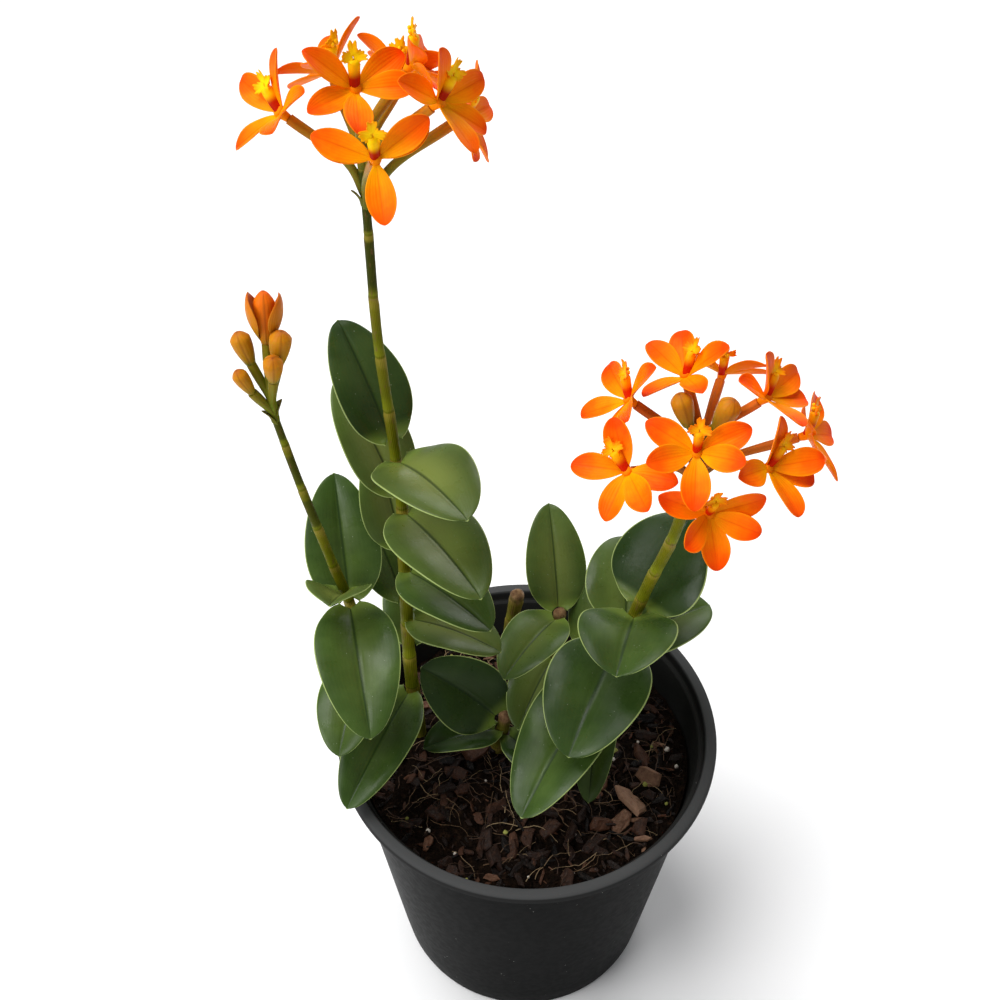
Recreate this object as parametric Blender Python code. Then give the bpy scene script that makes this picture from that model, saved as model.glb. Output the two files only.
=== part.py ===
"""A reed-stem epidendrum orchid in a black nursery pot, as separate closed solids.

Run with blender --background --python part.py, or from Blender's text editor.
The origin is the centre of the pot's flat foot, +Z is up, and -Y is the side the blooms face.
Design values are in millimetres and degrees, and MM turns them into Blender's metres.
"""

import math
import random

import bmesh
import bpy
from mathutils import Matrix, Vector, noise

MM = 0.001
GAP = 0.35  # clearance between pieces that touch on the real plant

# Pot
RIM_RADIUS = 70.0
POT_HEIGHT = 123.0
FOOT_RADIUS = 51.6
WALL_TOP_RADIUS = 65.3
WALL_THICKNESS = 1.8
BASE_THICKNESS = 2.4
LIP_HEIGHT = 3.8
LIP_INNER_RADIUS = 65.6
COLLAR_STEP_DEPTH = 4.6
COLLAR_DEPTH = 12.0
POT_SEGMENTS = 48
DRAIN_HOLES = 6
DRAIN_RADIUS = 4.0
DRAIN_RING_RADIUS = 38.0

# Potting mix
MIX_LEVEL = 106.0
MIX_RELIEF = 2.2
MIX_SEGMENTS = 30
MIX_RINGS = 6
BARK_CHIPS = 18
BARK_SEED = 11

# Leaves
LEAF_THICKNESS = 1.0
LEAF_ROWS = 5
LEAF_COLUMNS = 4
LEAF_BASE_SHARE = 0.26
LEAF_TIP_SHARE = 0.13

# Blooms
TEPAL_THICKNESS = 0.8
TEPAL_LENGTH = 14.0
TEPAL_WIDTH = 7.4
TEPAL_START = 0.9  # from the flower's axis
HEART_RADIUS = 1.6
LIP_CLAW_LENGTH = 7.0
LIP_CLAW_RADIUS = 1.35
LIP_BLADE_LENGTH = 6.0
LIP_BLADE_WIDTH = 7.4
# Angle round the face from the lip, opening from the axis, bend over the length, length and width shares.
TEPALS = {
    "sepal_left": (58, 62, 22, 1.00, 1.00),
    "sepal_right": (-58, 62, 22, 1.00, 1.00),
    "petal_left": (112, 70, 14, 0.94, 0.96),
    "petal_right": (-112, 70, 14, 0.94, 0.96),
    "sepal_low": (180, 78, 10, 1.00, 1.02),
}

# Canes: points from inside the mix to the tip, radius at the foot and at the tip, internode length.
CANES = {
    "cane_tall": dict(
        points=[(-41, 9, 84), (-41, 8, 108), (-42, 4, 150), (-41, 0, 200), (-40, 0, 236),
                (-41, 0, 262), (-43, 0, 300), (-43, 0, 334), (-43, 0, 349)],
        radius=(2.7, 1.05), internode=19.0),
    "cane_budding": dict(
        points=[(-51, 14, 84), (-52, 12, 108), (-56.5, 3, 150), (-58, -8, 197), (-62, -10, 222),
                (-67.5, -11, 254), (-72, -12, 284.5)],
        radius=(2.6, 1.0), internode=17.0),
    "cane_right": dict(
        points=[(22, 8, 84), (22, 8, 108), (28, 4, 150), (34, -5, 190), (37, -11, 214),
                (41, -17, 240), (43, -21, 266), (43.5, -22, 276)],
        radius=(2.8, 1.45), internode=17.0),
    "cane_back_stub": dict(
        points=[(-8, 40, 80), (-8, 40, 106), (-6, 41, 128), (-3, 42, 150)],
        radius=(2.2, 2.7), internode=11.0),
    "cane_centre_stub": dict(
        points=[(9, 24, 84), (9, 24, 106), (11, 24, 134), (12, 24, 160)],
        radius=(2.6, 2.3), internode=13.0),
    "cane_front_stub": dict(
        points=[(-11, 2, 84), (-11, 2, 108), (-9, 0, 120), (-8, -2, 132)],
        radius=(2.6, 2.2), internode=12.0),
    "cane_right_stub": dict(
        points=[(16, 20, 84), (16, 20, 108), (17, 18, 128), (18, 15, 150)],
        radius=(2.6, 2.2), internode=13.0),
}
CANE_SIDES = 7
CANE_RING_STEP = 8.5
SHEATH_FLARE = 0.16

# How wide the tepals of each head are, next to the width given above.
TEPAL_SPREADS = {"cane_tall": 0.9, "cane_right": 1.0}

# Leaves: cane, height above the foot, azimuth, rise at the base, droop over the length, length, width,
# fold of the two halves, roll about the midrib.
LEAVES = {
    "leaf_tall_1": ("cane_tall", 261, 124, 55, 20, 37, 23, 16, 0),
    "leaf_tall_2": ("cane_tall", 255, -56, 26, 32, 37, 29, 17, 0),
    "leaf_tall_3": ("cane_tall", 240, 128, 52, 20, 38, 23, 18, 0),
    "leaf_tall_4": ("cane_tall", 234, -56, 15, 30, 41, 28, 15, 0),
    "leaf_tall_5": ("cane_tall", 216, 112, 62, 20, 32, 22, 18, 0),
    "leaf_tall_6": ("cane_tall", 208, -46, 17, 24, 37, 24, 18, 3),
    "leaf_tall_7": ("cane_tall", 190, 118, 42, 22, 38, 22, 18, 0),
    "leaf_tall_8": ("cane_tall", 182, -26, 17, 33, 32, 22, 18, 0),
    "leaf_tall_9": ("cane_tall", 164, 84, 46, 20, 38, 22, 18, 0),
    "leaf_tall_10": ("cane_tall", 139, -114, 1, 22, 47, 24, 20, -7),
    "leaf_budding_1": ("cane_budding", 208, -95, 46, 14, 19, 21, 30, 0),
    "leaf_budding_2": ("cane_budding", 200, 100, 60, 18, 40, 25, 14, 0),
    "leaf_budding_3": ("cane_budding", 201, -78, 2, 38, 44, 27, 16, -2),
    "leaf_budding_4": ("cane_budding", 162, -100, 2, 30, 34, 24, 14, 6),
    "leaf_front_1": ("cane_front_stub", 129, 168, 48, 20, 34, 28, 16, -42),
    "leaf_front_2": ("cane_front_stub", 121, -157, 24, 32, 28, 19, 18, 3),
    "leaf_front_3": ("cane_front_stub", 119, -48, 10, 36, 24, 17, 18, 0),
    "leaf_centre_1": ("cane_centre_stub", 157, 98, 60, 24, 38, 23, 14, 0),
    "leaf_centre_2": ("cane_centre_stub", 157, -124, 19, 36, 33, 22, 20, 0),
    "leaf_centre_3": ("cane_centre_stub", 135, -114, 10, 34, 32, 22, 18, 0),
    "leaf_stub_1": ("cane_right_stub", 148, 39, 56, 24, 46, 28, 14, 0),
    "leaf_right_1": ("cane_right", 194, 47, 58, 20, 33, 35, 10, 0),
    "leaf_right_2": ("cane_right", 193, -107, 19, 36, 25, 33, 20, 6),
    "leaf_right_3": ("cane_right", 180, 88, 34, 30, 32, 29, 15, 0),
    "leaf_right_4": ("cane_right", 172, -116, -1, 32, 42, 36, 15, 0),
    "leaf_right_5": ("cane_right", 168, 25, 19, 27, 33, 28, 15, 0),
    "leaf_right_6": ("cane_right", 152, -120, 0, 22, 60, 32, 14, 8),
    "leaf_right_7": ("cane_right", 140, -98, -6, 34, 40, 16, 16, 0),
}

# The point that the flower stalks of each head radiate from.
HEADS = {"cane_tall": (-43, 0, 343), "cane_right": (43, -21, 270), "cane_budding": (-72, -12, 283.5)}
# Blooms: cane, height of the stalk's foot, azimuth, rise and length of the stalk from the head's middle,
# azimuth and rise of the face, turn of the lip about the face, then the tepals that don't stand as in TEPALS:
# angle round the face from the lip, and opening from the axis.
BLOOMS = {
    "bloom_tall_1": ("cane_tall", 338, -75, 42, 27, -84, 26, 2, {
        "sepal_left": (65, 76), "sepal_right": (-58, 74), "petal_left": (68, 84), "petal_right": (-62, 82),
        "sepal_low": (182, 64)}),
    "bloom_tall_2": ("cane_tall", 347, -88, 84, 25, -65, 48, -4, {
        "sepal_left": (55, 55), "sepal_right": (-62, 76), "petal_right": (-100, 68), "sepal_low": (165, 58)}),
    "bloom_tall_3": ("cane_tall", 341, 168, 44, 24, -160, 44, 65, {
        "sepal_left": (32, 48), "sepal_right": (-50, 40), "sepal_low": (198, 64)}),
    "bloom_tall_4": ("cane_tall", 342, -6, 52, 28, -28, 30, -36, {
        "sepal_left": (50, 38), "petal_left": (84, 80), "sepal_low": (196, 58)}),
    "bloom_tall_5": ("cane_tall", 339, 30, 24, 28, -10, 18, 5, {
        "sepal_left": (32, 58), "sepal_low": (190, 82)}),
    "bloom_tall_6": ("cane_tall", 343, 118, 58, 26, 150, 54, 0, {
        "sepal_left": (58, 50), "petal_left": (112, 50), "petal_right": (-112, 54)}),
    "bloom_tall_7": ("cane_tall", 345, 42, 60, 29, 10, 38, -14, {
        "sepal_left": (68, 56), "sepal_right": (-92, 68), "petal_right": (-116, 80)}),
    "bloom_tall_8": ("cane_tall", 344, 62, 46, 26, 76, 46, 0, {
        "sepal_right": (-58, 48), "petal_right": (-112, 52)}),
    "bloom_right_1": ("cane_right", 272, -102, 51, 28, -97, 45, 0, {
        "sepal_left": (63, 76), "sepal_right": (-61, 70), "petal_left": (108, 60), "petal_right": (-100, 48),
        "sepal_low": (182, 76)}),
    "bloom_right_2": ("cane_right", 266, -142, 28, 27, -132, 48, 56, {
        "sepal_right": (-20, 46), "petal_left": (130, 84), "petal_right": (-130, 84),
        "sepal_low": (188, 64)}),
    "bloom_right_3": ("cane_right", 262, -90, 16, 24, -77, 24, 0, {
        "sepal_left": (62, 80), "sepal_right": (-75, 60), "petal_left": (115, 42),
        "petal_right": (-115, 55), "sepal_low": (180, 66)}),
    "bloom_right_4": ("cane_right", 267, -50, 36, 26, -33, 37, -46, {
        "sepal_left": (28, 44), "sepal_right": (-74, 34), "petal_left": (112, 80), "petal_right": (-96, 60),
        "sepal_low": (200, 60)}),
    "bloom_right_5": ("cane_right", 269, 172, 50, 27, 176, 36, 34, {
        "sepal_left": (66, 58), "sepal_right": (-46, 66), "petal_left": (146, 54), "sepal_low": (196, 96)}),
    "bloom_right_6": ("cane_right", 273, 108, 66, 24, 175, 67, 44, {
        "sepal_left": (42, 58), "sepal_right": (-45, 55), "petal_left": (90, 44), "sepal_low": (180, 66)}),
    "bloom_right_7": ("cane_right", 271, -4, 60, 28, -19, 49, -50, {
        "sepal_left": (56, 36), "petal_left": (84, 72), "petal_right": (-90, 70), "sepal_low": (176, 50)}),
    "bloom_right_8": ("cane_right", 265, -1, 24, 29, -5, 36, -30, {}),
    "bloom_right_9": ("cane_right", 270, 68, 36, 26, 70, 50, 0, {}),
}
# Neighbouring blooms whose tepals press into each other, kept as one piece.
TOUCHING = {"bloom_tall_7": ["bloom_tall_8"]}

# Buds: cane, foot of the stalk, azimuth, rise and length of the stalk, bud length, bud radius.
BUDS = {
    "buds_right": [
        ("cane_right", 274, 185, 78, 17.5, 10.5, 2.9),
        ("cane_right", 274, -25, 75, 18, 10.5, 3.1),
    ],
    "buds_left": [
        ("cane_budding", 280, 155, 74, 15, 9.5, 2.7),
        ("cane_budding", 279, 205, 60, 8.5, 8.5, 2.1),
        ("cane_budding", 281, -50, 72, 13, 9.0, 2.6),
        ("cane_budding", 281, 5, 76, 16, 10.0, 2.9),
    ],
}
# The bud that has begun to open: stalk as above, then the length and width of its sepals.
OPENING_BUD = ("cane_budding", 282, 75, 80, 20, 13.5, 7.6)
PEDICEL_RADIUS = (1.0, 1.35)
PEDICEL_SIDES = 5
BRACT_LENGTH = 5.0
BRACT_DROP = 4.0

# Colours, roughness
BLACK_PLASTIC = ((0.022, 0.024, 0.025), 0.5)
BARK = ((0.06, 0.034, 0.022), 0.9)
LEAF_GREEN = ((0.075, 0.145, 0.045), 0.42)
CANE_GREEN = ((0.25, 0.30, 0.045), 0.5)
ORANGE = ((0.95, 0.22, 0.01), 0.5)
BUD_OCHRE = ((0.55, 0.27, 0.05), 0.5)


def clear_scene():
    for obj in list(bpy.data.objects):
        bpy.data.objects.remove(obj)


def material(name, colour, roughness):
    made = bpy.data.materials.get(name) or bpy.data.materials.new(name)
    made.use_nodes = True
    shader = made.node_tree.nodes["Principled BSDF"]
    shader.inputs["Base Color"].default_value = (*colour, 1.0)
    shader.inputs["Roughness"].default_value = roughness
    shader.inputs["Metallic"].default_value = 0.0
    return made


def new_object(name, points, faces, finish=None):
    """A closed mesh from points in millimetres, with its faces turned outwards."""
    mesh = bpy.data.meshes.new(name)
    mesh.from_pydata([tuple(c * MM for c in p) for p in points], [], faces)
    shell = bmesh.new()
    shell.from_mesh(mesh)
    bmesh.ops.recalc_face_normals(shell, faces=shell.faces)
    shell.to_mesh(mesh)
    shell.free()
    obj = bpy.data.objects.new(name, mesh)
    bpy.context.scene.collection.objects.link(obj)
    if finish:
        mesh.materials.append(material(*finish))
    return obj


def shade_round(obj, angle=40.0):
    obj.data.shade_smooth()
    obj.data.set_sharp_from_angle(angle=math.radians(angle))


def apply_modifiers(obj):
    bpy.context.view_layer.update()
    graph = bpy.context.evaluated_depsgraph_get()
    solid = bpy.data.meshes.new_from_object(obj.evaluated_get(graph))
    obj.modifiers.clear()
    obj.data = solid


def combine(base, others, operation="UNION", solver="MANIFOLD"):
    """One Boolean on a collection, applied, with the collection's objects then removed."""
    group = bpy.data.collections.new("operands")
    for other in others:
        group.objects.link(other)
    cut = base.modifiers.new("combine", "BOOLEAN")
    cut.operation = operation
    cut.solver = solver
    cut.operand_type = "COLLECTION"
    cut.collection = group
    apply_modifiers(base)
    for other in others:
        bpy.data.objects.remove(other)
    bpy.data.collections.remove(group)
    return base


def direction(azimuth, rise):
    a, r = math.radians(azimuth), math.radians(rise)
    return Vector((math.cos(a) * math.cos(r), math.sin(a) * math.cos(r), math.sin(r)))


def revolve(name, profile, segments, finish):
    """Spins an (r, z) profile, which starts and ends on the axis, about Z."""
    points, faces, rings = [], [], []
    for r, z in profile:
        if r == 0:
            rings.append([len(points)] * segments)
            points.append((0, 0, z))
            continue
        rings.append(list(range(len(points), len(points) + segments)))
        for k in range(segments):
            turn = 2 * math.pi * k / segments
            points.append((r * math.cos(turn), r * math.sin(turn), z))
    for low, high in zip(rings, rings[1:]):
        for k in range(segments):
            n = (k + 1) % segments
            corners = [low[k], low[n], high[n], high[k]]
            faces.append(tuple(dict.fromkeys(corners)))
    return new_object(name, points, faces, finish)


def smooth_path(points, step):
    """Points about one step apart on a Catmull-Rom curve through the given ones."""
    knots = [Vector(p) for p in points]
    knots = [knots[0] * 2 - knots[1], *knots, knots[-1] * 2 - knots[-2]]
    path = []
    for a, b, c, d in zip(knots, knots[1:], knots[2:], knots[3:]):
        count = max(1, round((c - b).length / step))
        for k in range(count):
            t = k / count
            path.append(0.5 * (2 * b + (c - a) * t + (2 * a - 5 * b + 4 * c - d) * t * t
                               + (3 * b - a - 3 * c + d) * t ** 3))
    path.append(knots[-2])
    return path


def tube(name, path, radii, sides, finish=None):
    """A closed tube with flat ends along a path."""
    points, faces = [], []
    side = None
    for i, here in enumerate(path):
        along = (path[min(i + 1, len(path) - 1)] - path[max(i - 1, 0)]).normalized()
        if side is None:
            side = along.orthogonal()
        side = (side - along * side.dot(along)).normalized()
        over = along.cross(side)
        for k in range(sides):
            turn = 2 * math.pi * k / sides
            points.append(here + (side * math.cos(turn) + over * math.sin(turn)) * radii[i])
    for i in range(len(path) - 1):
        for k in range(sides):
            n = (k + 1) % sides
            faces.append((i * sides + k, i * sides + n, (i + 1) * sides + n, (i + 1) * sides + k))
    faces.append(tuple(range(sides))[::-1])
    faces.append(tuple(range((len(path) - 1) * sides, len(path) * sides)))
    return new_object(name, points, faces, finish)


def blade(name, surface, rows, columns, thickness, finish=None):
    """A thin closed blade on both sides of a surface of (s, t), s from 0 to 1 and t from -1 to 1.
    Both faces are split into triangles alike, so that they never cross."""
    step = 1e-3
    upper, lower = [], []
    for i in range(rows + 1):
        for j in range(columns + 1):
            s, t = i / rows, 2 * j / columns - 1
            here = surface(s, t)
            along = surface(s + step, t) - surface(s - step, t)
            across = surface(s, t + step) - surface(s, t - step)
            normal = across.cross(along).normalized()
            upper.append(here + normal * thickness / 2)
            lower.append(here - normal * thickness / 2)
    width = columns + 1
    below = len(upper)
    faces = []
    for i in range(rows):
        for j in range(columns):
            a, b = i * width + j, i * width + j + 1
            c, d = b + width, a + width
            for corners in ((a, b, c), (a, c, d)):
                faces.append(corners)
                faces.append(tuple(below + k for k in reversed(corners)))
    rim = ([j for j in range(columns)] + [i * width + columns for i in range(rows)]
           + [rows * width + j for j in range(columns, 0, -1)] + [i * width for i in range(rows, 0, -1)])
    for a, b in zip(rim, rim[1:] + rim[:1]):
        faces.append((a, below + a, below + b))
        faces.append((a, below + b, b))
    return new_object(name, upper + lower, faces, finish)


def arc_point(s, length, start, bend):
    """Distance out and up, s of the way along an arc that starts at an angle and bends down by bend."""
    steps = 8
    out = up = 0.0
    for k in range(steps):
        turn = math.radians(start - bend * s * (k + 0.5) / steps)
        out += math.cos(turn) * length * s / steps
        up += math.sin(turn) * length * s / steps
    return out, up


def leaf_width_share(s):
    """Share of the full width: a clasping foot, the widest place past a third, a blunt tip."""
    s = min(max(s, 0.0), 1.0)
    body = 0.97 * math.sin(math.pi * s ** 0.72) ** 0.5 if 0 < s < 1 else 0.0
    ends = LEAF_BASE_SHARE * (1 - s) ** 3 + LEAF_TIP_SHARE * s ** 6
    return max(body, ends)


def leaf_surface(foot, azimuth, rise, droop, length, width, fold, roll):
    out = direction(azimuth, 0)
    level = Vector((-out.y, out.x, 0))
    up = Vector((0, 0, 1))

    def surface(s, t):
        reach, lift = arc_point(s, length, rise, droop)
        turn = math.radians(rise - droop * s)
        normal = up * math.cos(turn) - out * math.sin(turn)
        side = Matrix.Rotation(math.radians(roll), 3, out * math.cos(turn) + up * math.sin(turn)) @ level
        normal = Matrix.Rotation(math.radians(roll), 3, out * math.cos(turn) + up * math.sin(turn)) @ normal
        half = width / 2 * leaf_width_share(s)
        valley = half * math.tan(math.radians(fold)) * (abs(t) ** 1.4 - 0.25 * t ** 4)
        return foot + out * reach + up * lift + side * (half * t) + normal * valley

    return surface


def tepal_surface(centre, face, lip, around, opening, recurve, length, width):
    turned = Matrix.Rotation(math.radians(around), 3, face) @ lip
    across = face.cross(turned)

    def surface(s, t):
        reach, lift = arc_point(s, length, 90 - opening, recurve)
        share = math.sin(math.pi * min(max(0.06 + 0.88 * s, 0), 1) ** 0.9) ** 0.75
        half = width / 2 * max(share, 0.2)
        cup = half * 0.22 * t * t
        return centre + turned * (TEPAL_START + reach) + face * (lift + cup) + across * (half * t)

    return surface


def lip_surface(start, face, lip):
    """The lip's spread blade at the mouth of its claw, with two side lobes and a mid lobe."""
    across = face.cross(lip)
    forward = (lip * 0.92 + face * 0.38).normalized()
    normal = across.cross(forward)

    def surface(s, t):
        lobes = 0.62 + 0.38 * abs(math.cos(1.5 * math.pi * min(max(s, 0), 1)))
        half = LIP_BLADE_WIDTH / 2 * lobes * (1 - 0.45 * s)
        droop = -0.16 * half * t * t
        return start + forward * (LIP_BLADE_LENGTH * s) + across * (half * t) + normal * droop

    return surface


def cane_axis(name, height):
    """The cane's centre line at a height above the foot."""
    path = smooth_path(CANES[name]["points"], 4.0)
    for low, high in zip(path, path[1:]):
        if low.z <= height <= high.z:
            return low.lerp(high, (height - low.z) / (high.z - low.z))
    return path[-1]


def cane_radius(name, height):
    """Each internode's sheath widens to its mouth, where the next one slips out of it."""
    spec = CANES[name]
    foot, tip = spec["points"][0][2], spec["points"][-1][2]
    share = (height - foot) / (tip - foot)
    plain = spec["radius"][0] + (spec["radius"][1] - spec["radius"][0]) * share
    return plain * (1 + SHEATH_FLARE * ((height - foot) % spec["internode"]) / spec["internode"])


def pedicel(cane, foot_height, azimuth, rise, length, tip_radius=PEDICEL_RADIUS[1]):
    """A stalk that leaves the cane steeply and bends out to its own direction."""
    foot = cane_axis(cane, foot_height)
    end = Vector(HEADS[cane]) + direction(azimuth, rise) * length
    early = foot + direction(azimuth, min(88, rise + 22)) * length * 0.42
    path = smooth_path([foot, early, end], 10.0)
    count = len(path) - 1
    radii = [PEDICEL_RADIUS[0] + (tip_radius - PEDICEL_RADIUS[0]) * k / count for k in range(count + 1)]
    return tube("stalk", path, radii, PEDICEL_SIDES), end, (end - path[-2]).normalized()


def make_cane(name):
    spec = CANES[name]
    path = smooth_path(spec["points"], CANE_RING_STEP)
    radii = [cane_radius(name, p.z) for p in path]
    cane = tube(name, path, radii, CANE_SIDES, ("cane", *CANE_GREEN))
    stalks = []
    for cane_name, height, azimuth, rise, length, *_ in BLOOMS.values():
        if cane_name == name:
            stalks.append(pedicel(name, height, azimuth, rise, length)[0])
    for row in [r for rows in BUDS.values() for r in rows] + [OPENING_BUD]:
        if row[0] == name:
            stalks.append(pedicel(name, row[1], row[2], row[3], row[4])[0])
    if stalks:
        stalks.append(make_bract(name))
        combine(cane, stalks + fused_buds(name))
    shade_round(cane)
    return cane


def fused_buds(name):
    """Unopened buds that stay one piece with their cane."""
    buds = []
    for cane, foot, azimuth, rise, length, bud_length, radius in BUDS["buds_right"]:
        if cane == name:
            stalk, end, out = pedicel(cane, foot, azimuth, rise, length)
            bpy.data.objects.remove(stalk)
            out = (out + Vector((0, 0, 0.8))).normalized()
            buds.append(make_bud_solid("bud", end - out * 1.0, out, bud_length, radius))
    return buds


def make_bract(name):
    """The small pointed scale on the stem just under the flower head."""
    height = HEADS[name][2] - BRACT_DROP
    foot = cane_axis(name, height) + direction(-150, 0) * (cane_radius(name, height) * 0.4)
    out, up = direction(-150, 0), Vector((0, 0, 1))
    side = out.cross(up)

    def surface(s, t):
        half = 1.8 * (1 - 0.8 * s)
        return foot + out * (BRACT_LENGTH * 0.5 * s) + up * (BRACT_LENGTH * s) + side * (half * t)

    return blade("bract", surface, 2, 2, 0.8)


def make_leaf(name):
    cane, height, azimuth, rise, droop, length, width, fold, roll = LEAVES[name]
    foot = cane_axis(cane, height) + direction(azimuth, 0) * (
        cane_radius(cane, height) * (1 + SHEATH_FLARE) + LEAF_THICKNESS / 2 + GAP)
    surface = leaf_surface(foot, azimuth, rise, droop, length, width, fold, roll)
    leaf = blade(name, surface, LEAF_ROWS, LEAF_COLUMNS, LEAF_THICKNESS, ("leaf", *LEAF_GREEN))
    shade_round(leaf, 60)
    return leaf


def make_bloom(name):
    """Five tepals, and a lip on a claw, fused at the flower's heart just past the pedicel's tip."""
    cane, foot, azimuth, rise, length, face_azimuth, face_rise, turn, posed = BLOOMS[name]
    stalk, end, out = pedicel(cane, foot, azimuth, rise, length)
    bpy.data.objects.remove(stalk)
    face = direction(face_azimuth, face_rise)
    up = Vector((0, 0, 1))
    lip = (up - face * up.dot(face)).normalized()
    lip = Matrix.Rotation(math.radians(turn), 3, face) @ lip
    start = end + out * GAP
    centre = start + out * HEART_RADIUS
    heart = tube(name, [start, centre + face * HEART_RADIUS],
                 [HEART_RADIUS * 0.8, HEART_RADIUS], 5, ("tepals", *ORANGE))
    pieces = []
    for part, (around, opening, recurve, long, wide) in TEPALS.items():
        around, opening = posed.get(part, (around, opening))
        surface = tepal_surface(centre + face * 0.5, face, lip, around, opening, recurve,
                                TEPAL_LENGTH * long, TEPAL_WIDTH * wide * TEPAL_SPREADS[cane])
        pieces.append(blade(part, surface, 3, 2, TEPAL_THICKNESS))
    mouth = centre + (face * 0.74 + lip * 0.68).normalized() * LIP_CLAW_LENGTH
    pieces.append(tube("claw", [centre, mouth + face * 0.3], [LIP_CLAW_RADIUS * k for k in (0.8, 1.1)], 5))
    pieces.append(blade("lip", lip_surface(mouth - lip * 1.2, face, lip), 2, 2, TEPAL_THICKNESS))
    combine(heart, pieces)
    shade_round(heart)
    return heart


def make_blooms():
    made = {name: make_bloom(name) for name in BLOOMS}
    for name, others in TOUCHING.items():
        combine(made[name], [made[other] for other in others])
        shade_round(made[name])


def make_bud_solid(name, start, out, length, radius):
    shares = ((0.0, 0.45), (0.25, 0.92), (0.6, 1.0), (0.88, 0.62), (1.0, 0.2))
    path = [start + out * length * s for s, _ in shares]
    return tube(name, path, [radius * r for _, r in shares], 8, ("bud", *BUD_OCHRE))


def make_buds():
    for group, rows in BUDS.items():
        if group == "buds_right":
            continue
        for number, (cane, foot, azimuth, rise, length, bud_length, radius) in enumerate(rows, 1):
            stalk, end, out = pedicel(cane, foot, azimuth, rise, length)
            bpy.data.objects.remove(stalk)
            out = (out + Vector((0, 0, 0.4))).normalized()
            bud = make_bud_solid(f"{group}_{number}", end + out * (GAP + 0.3), out, bud_length, radius)
            shade_round(bud)


def make_opening_bud():
    """A half-open bud: a rolled heart of petals between two sepals that have parted."""
    cane, foot, azimuth, rise, length, sepal_length, sepal_width = OPENING_BUD
    stalk, end, out = pedicel(cane, foot, azimuth, rise, length)
    bpy.data.objects.remove(stalk)
    start = end + out * GAP
    heart = make_bud_solid("bud_opening", start, out, sepal_length, sepal_width * 0.36)
    side = direction(0, 0)
    side = (side - out * side.dot(out)).normalized()
    pieces = []
    for around in (0, 180):
        surface = tepal_surface(start + out * 0.8, out, side, around, 24, -30, sepal_length, sepal_width)
        pieces.append(blade("sepal", surface, 3, 2, TEPAL_THICKNESS))
    combine(heart, pieces)
    shade_round(heart)


def make_pot():
    wall_slope = (WALL_TOP_RADIUS - FOOT_RADIUS) / (POT_HEIGHT - LIP_HEIGHT)
    inside = WALL_TOP_RADIUS - WALL_THICKNESS
    collar_z = POT_HEIGHT - COLLAR_DEPTH
    profile = [
        (0, 0), (FOOT_RADIUS - 1.2, 0), (FOOT_RADIUS, 1.2),
        (WALL_TOP_RADIUS, POT_HEIGHT - LIP_HEIGHT - 1),
        (WALL_TOP_RADIUS + 0.6, POT_HEIGHT - LIP_HEIGHT),
        (RIM_RADIUS - 0.5, POT_HEIGHT - LIP_HEIGHT),
        (RIM_RADIUS, POT_HEIGHT - LIP_HEIGHT + 0.6),
        (RIM_RADIUS, POT_HEIGHT - 1.0), (RIM_RADIUS - 0.9, POT_HEIGHT),
        (LIP_INNER_RADIUS + 0.4, POT_HEIGHT), (LIP_INNER_RADIUS, POT_HEIGHT - 0.6),
        (LIP_INNER_RADIUS - 0.3, POT_HEIGHT - COLLAR_STEP_DEPTH),
        (inside + 0.2, POT_HEIGHT - COLLAR_STEP_DEPTH),
        (inside - wall_slope * (COLLAR_DEPTH - LIP_HEIGHT), collar_z),
        (FOOT_RADIUS - WALL_THICKNESS + wall_slope * BASE_THICKNESS, BASE_THICKNESS),
        (0, BASE_THICKNESS),
    ]
    pot = revolve("pot", profile, POT_SEGMENTS, ("pot", *BLACK_PLASTIC))
    drills = []
    for k in range(DRAIN_HOLES):
        spot = direction(360 * (k + 0.5) / DRAIN_HOLES, 0) * DRAIN_RING_RADIUS
        drills.append(tube("drill", [spot + Vector((0, 0, z)) for z in (-2.0, BASE_THICKNESS + 2)],
                           [DRAIN_RADIUS] * 2, 10))
    combine(pot, drills, "DIFFERENCE")
    shade_round(pot, 30)
    return pot


def mix_height(x, y):
    """The mix's surface: a low mound, sunk a little at the back, with lumps."""
    lumps = noise.noise(Vector((x, y, 3.7)) * 0.055) + 0.5 * noise.noise(Vector((x, y, 9.1)) * 0.14)
    return MIX_LEVEL + 1.2 - 0.045 * max(y, -20) + MIX_RELIEF * lumps


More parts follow.
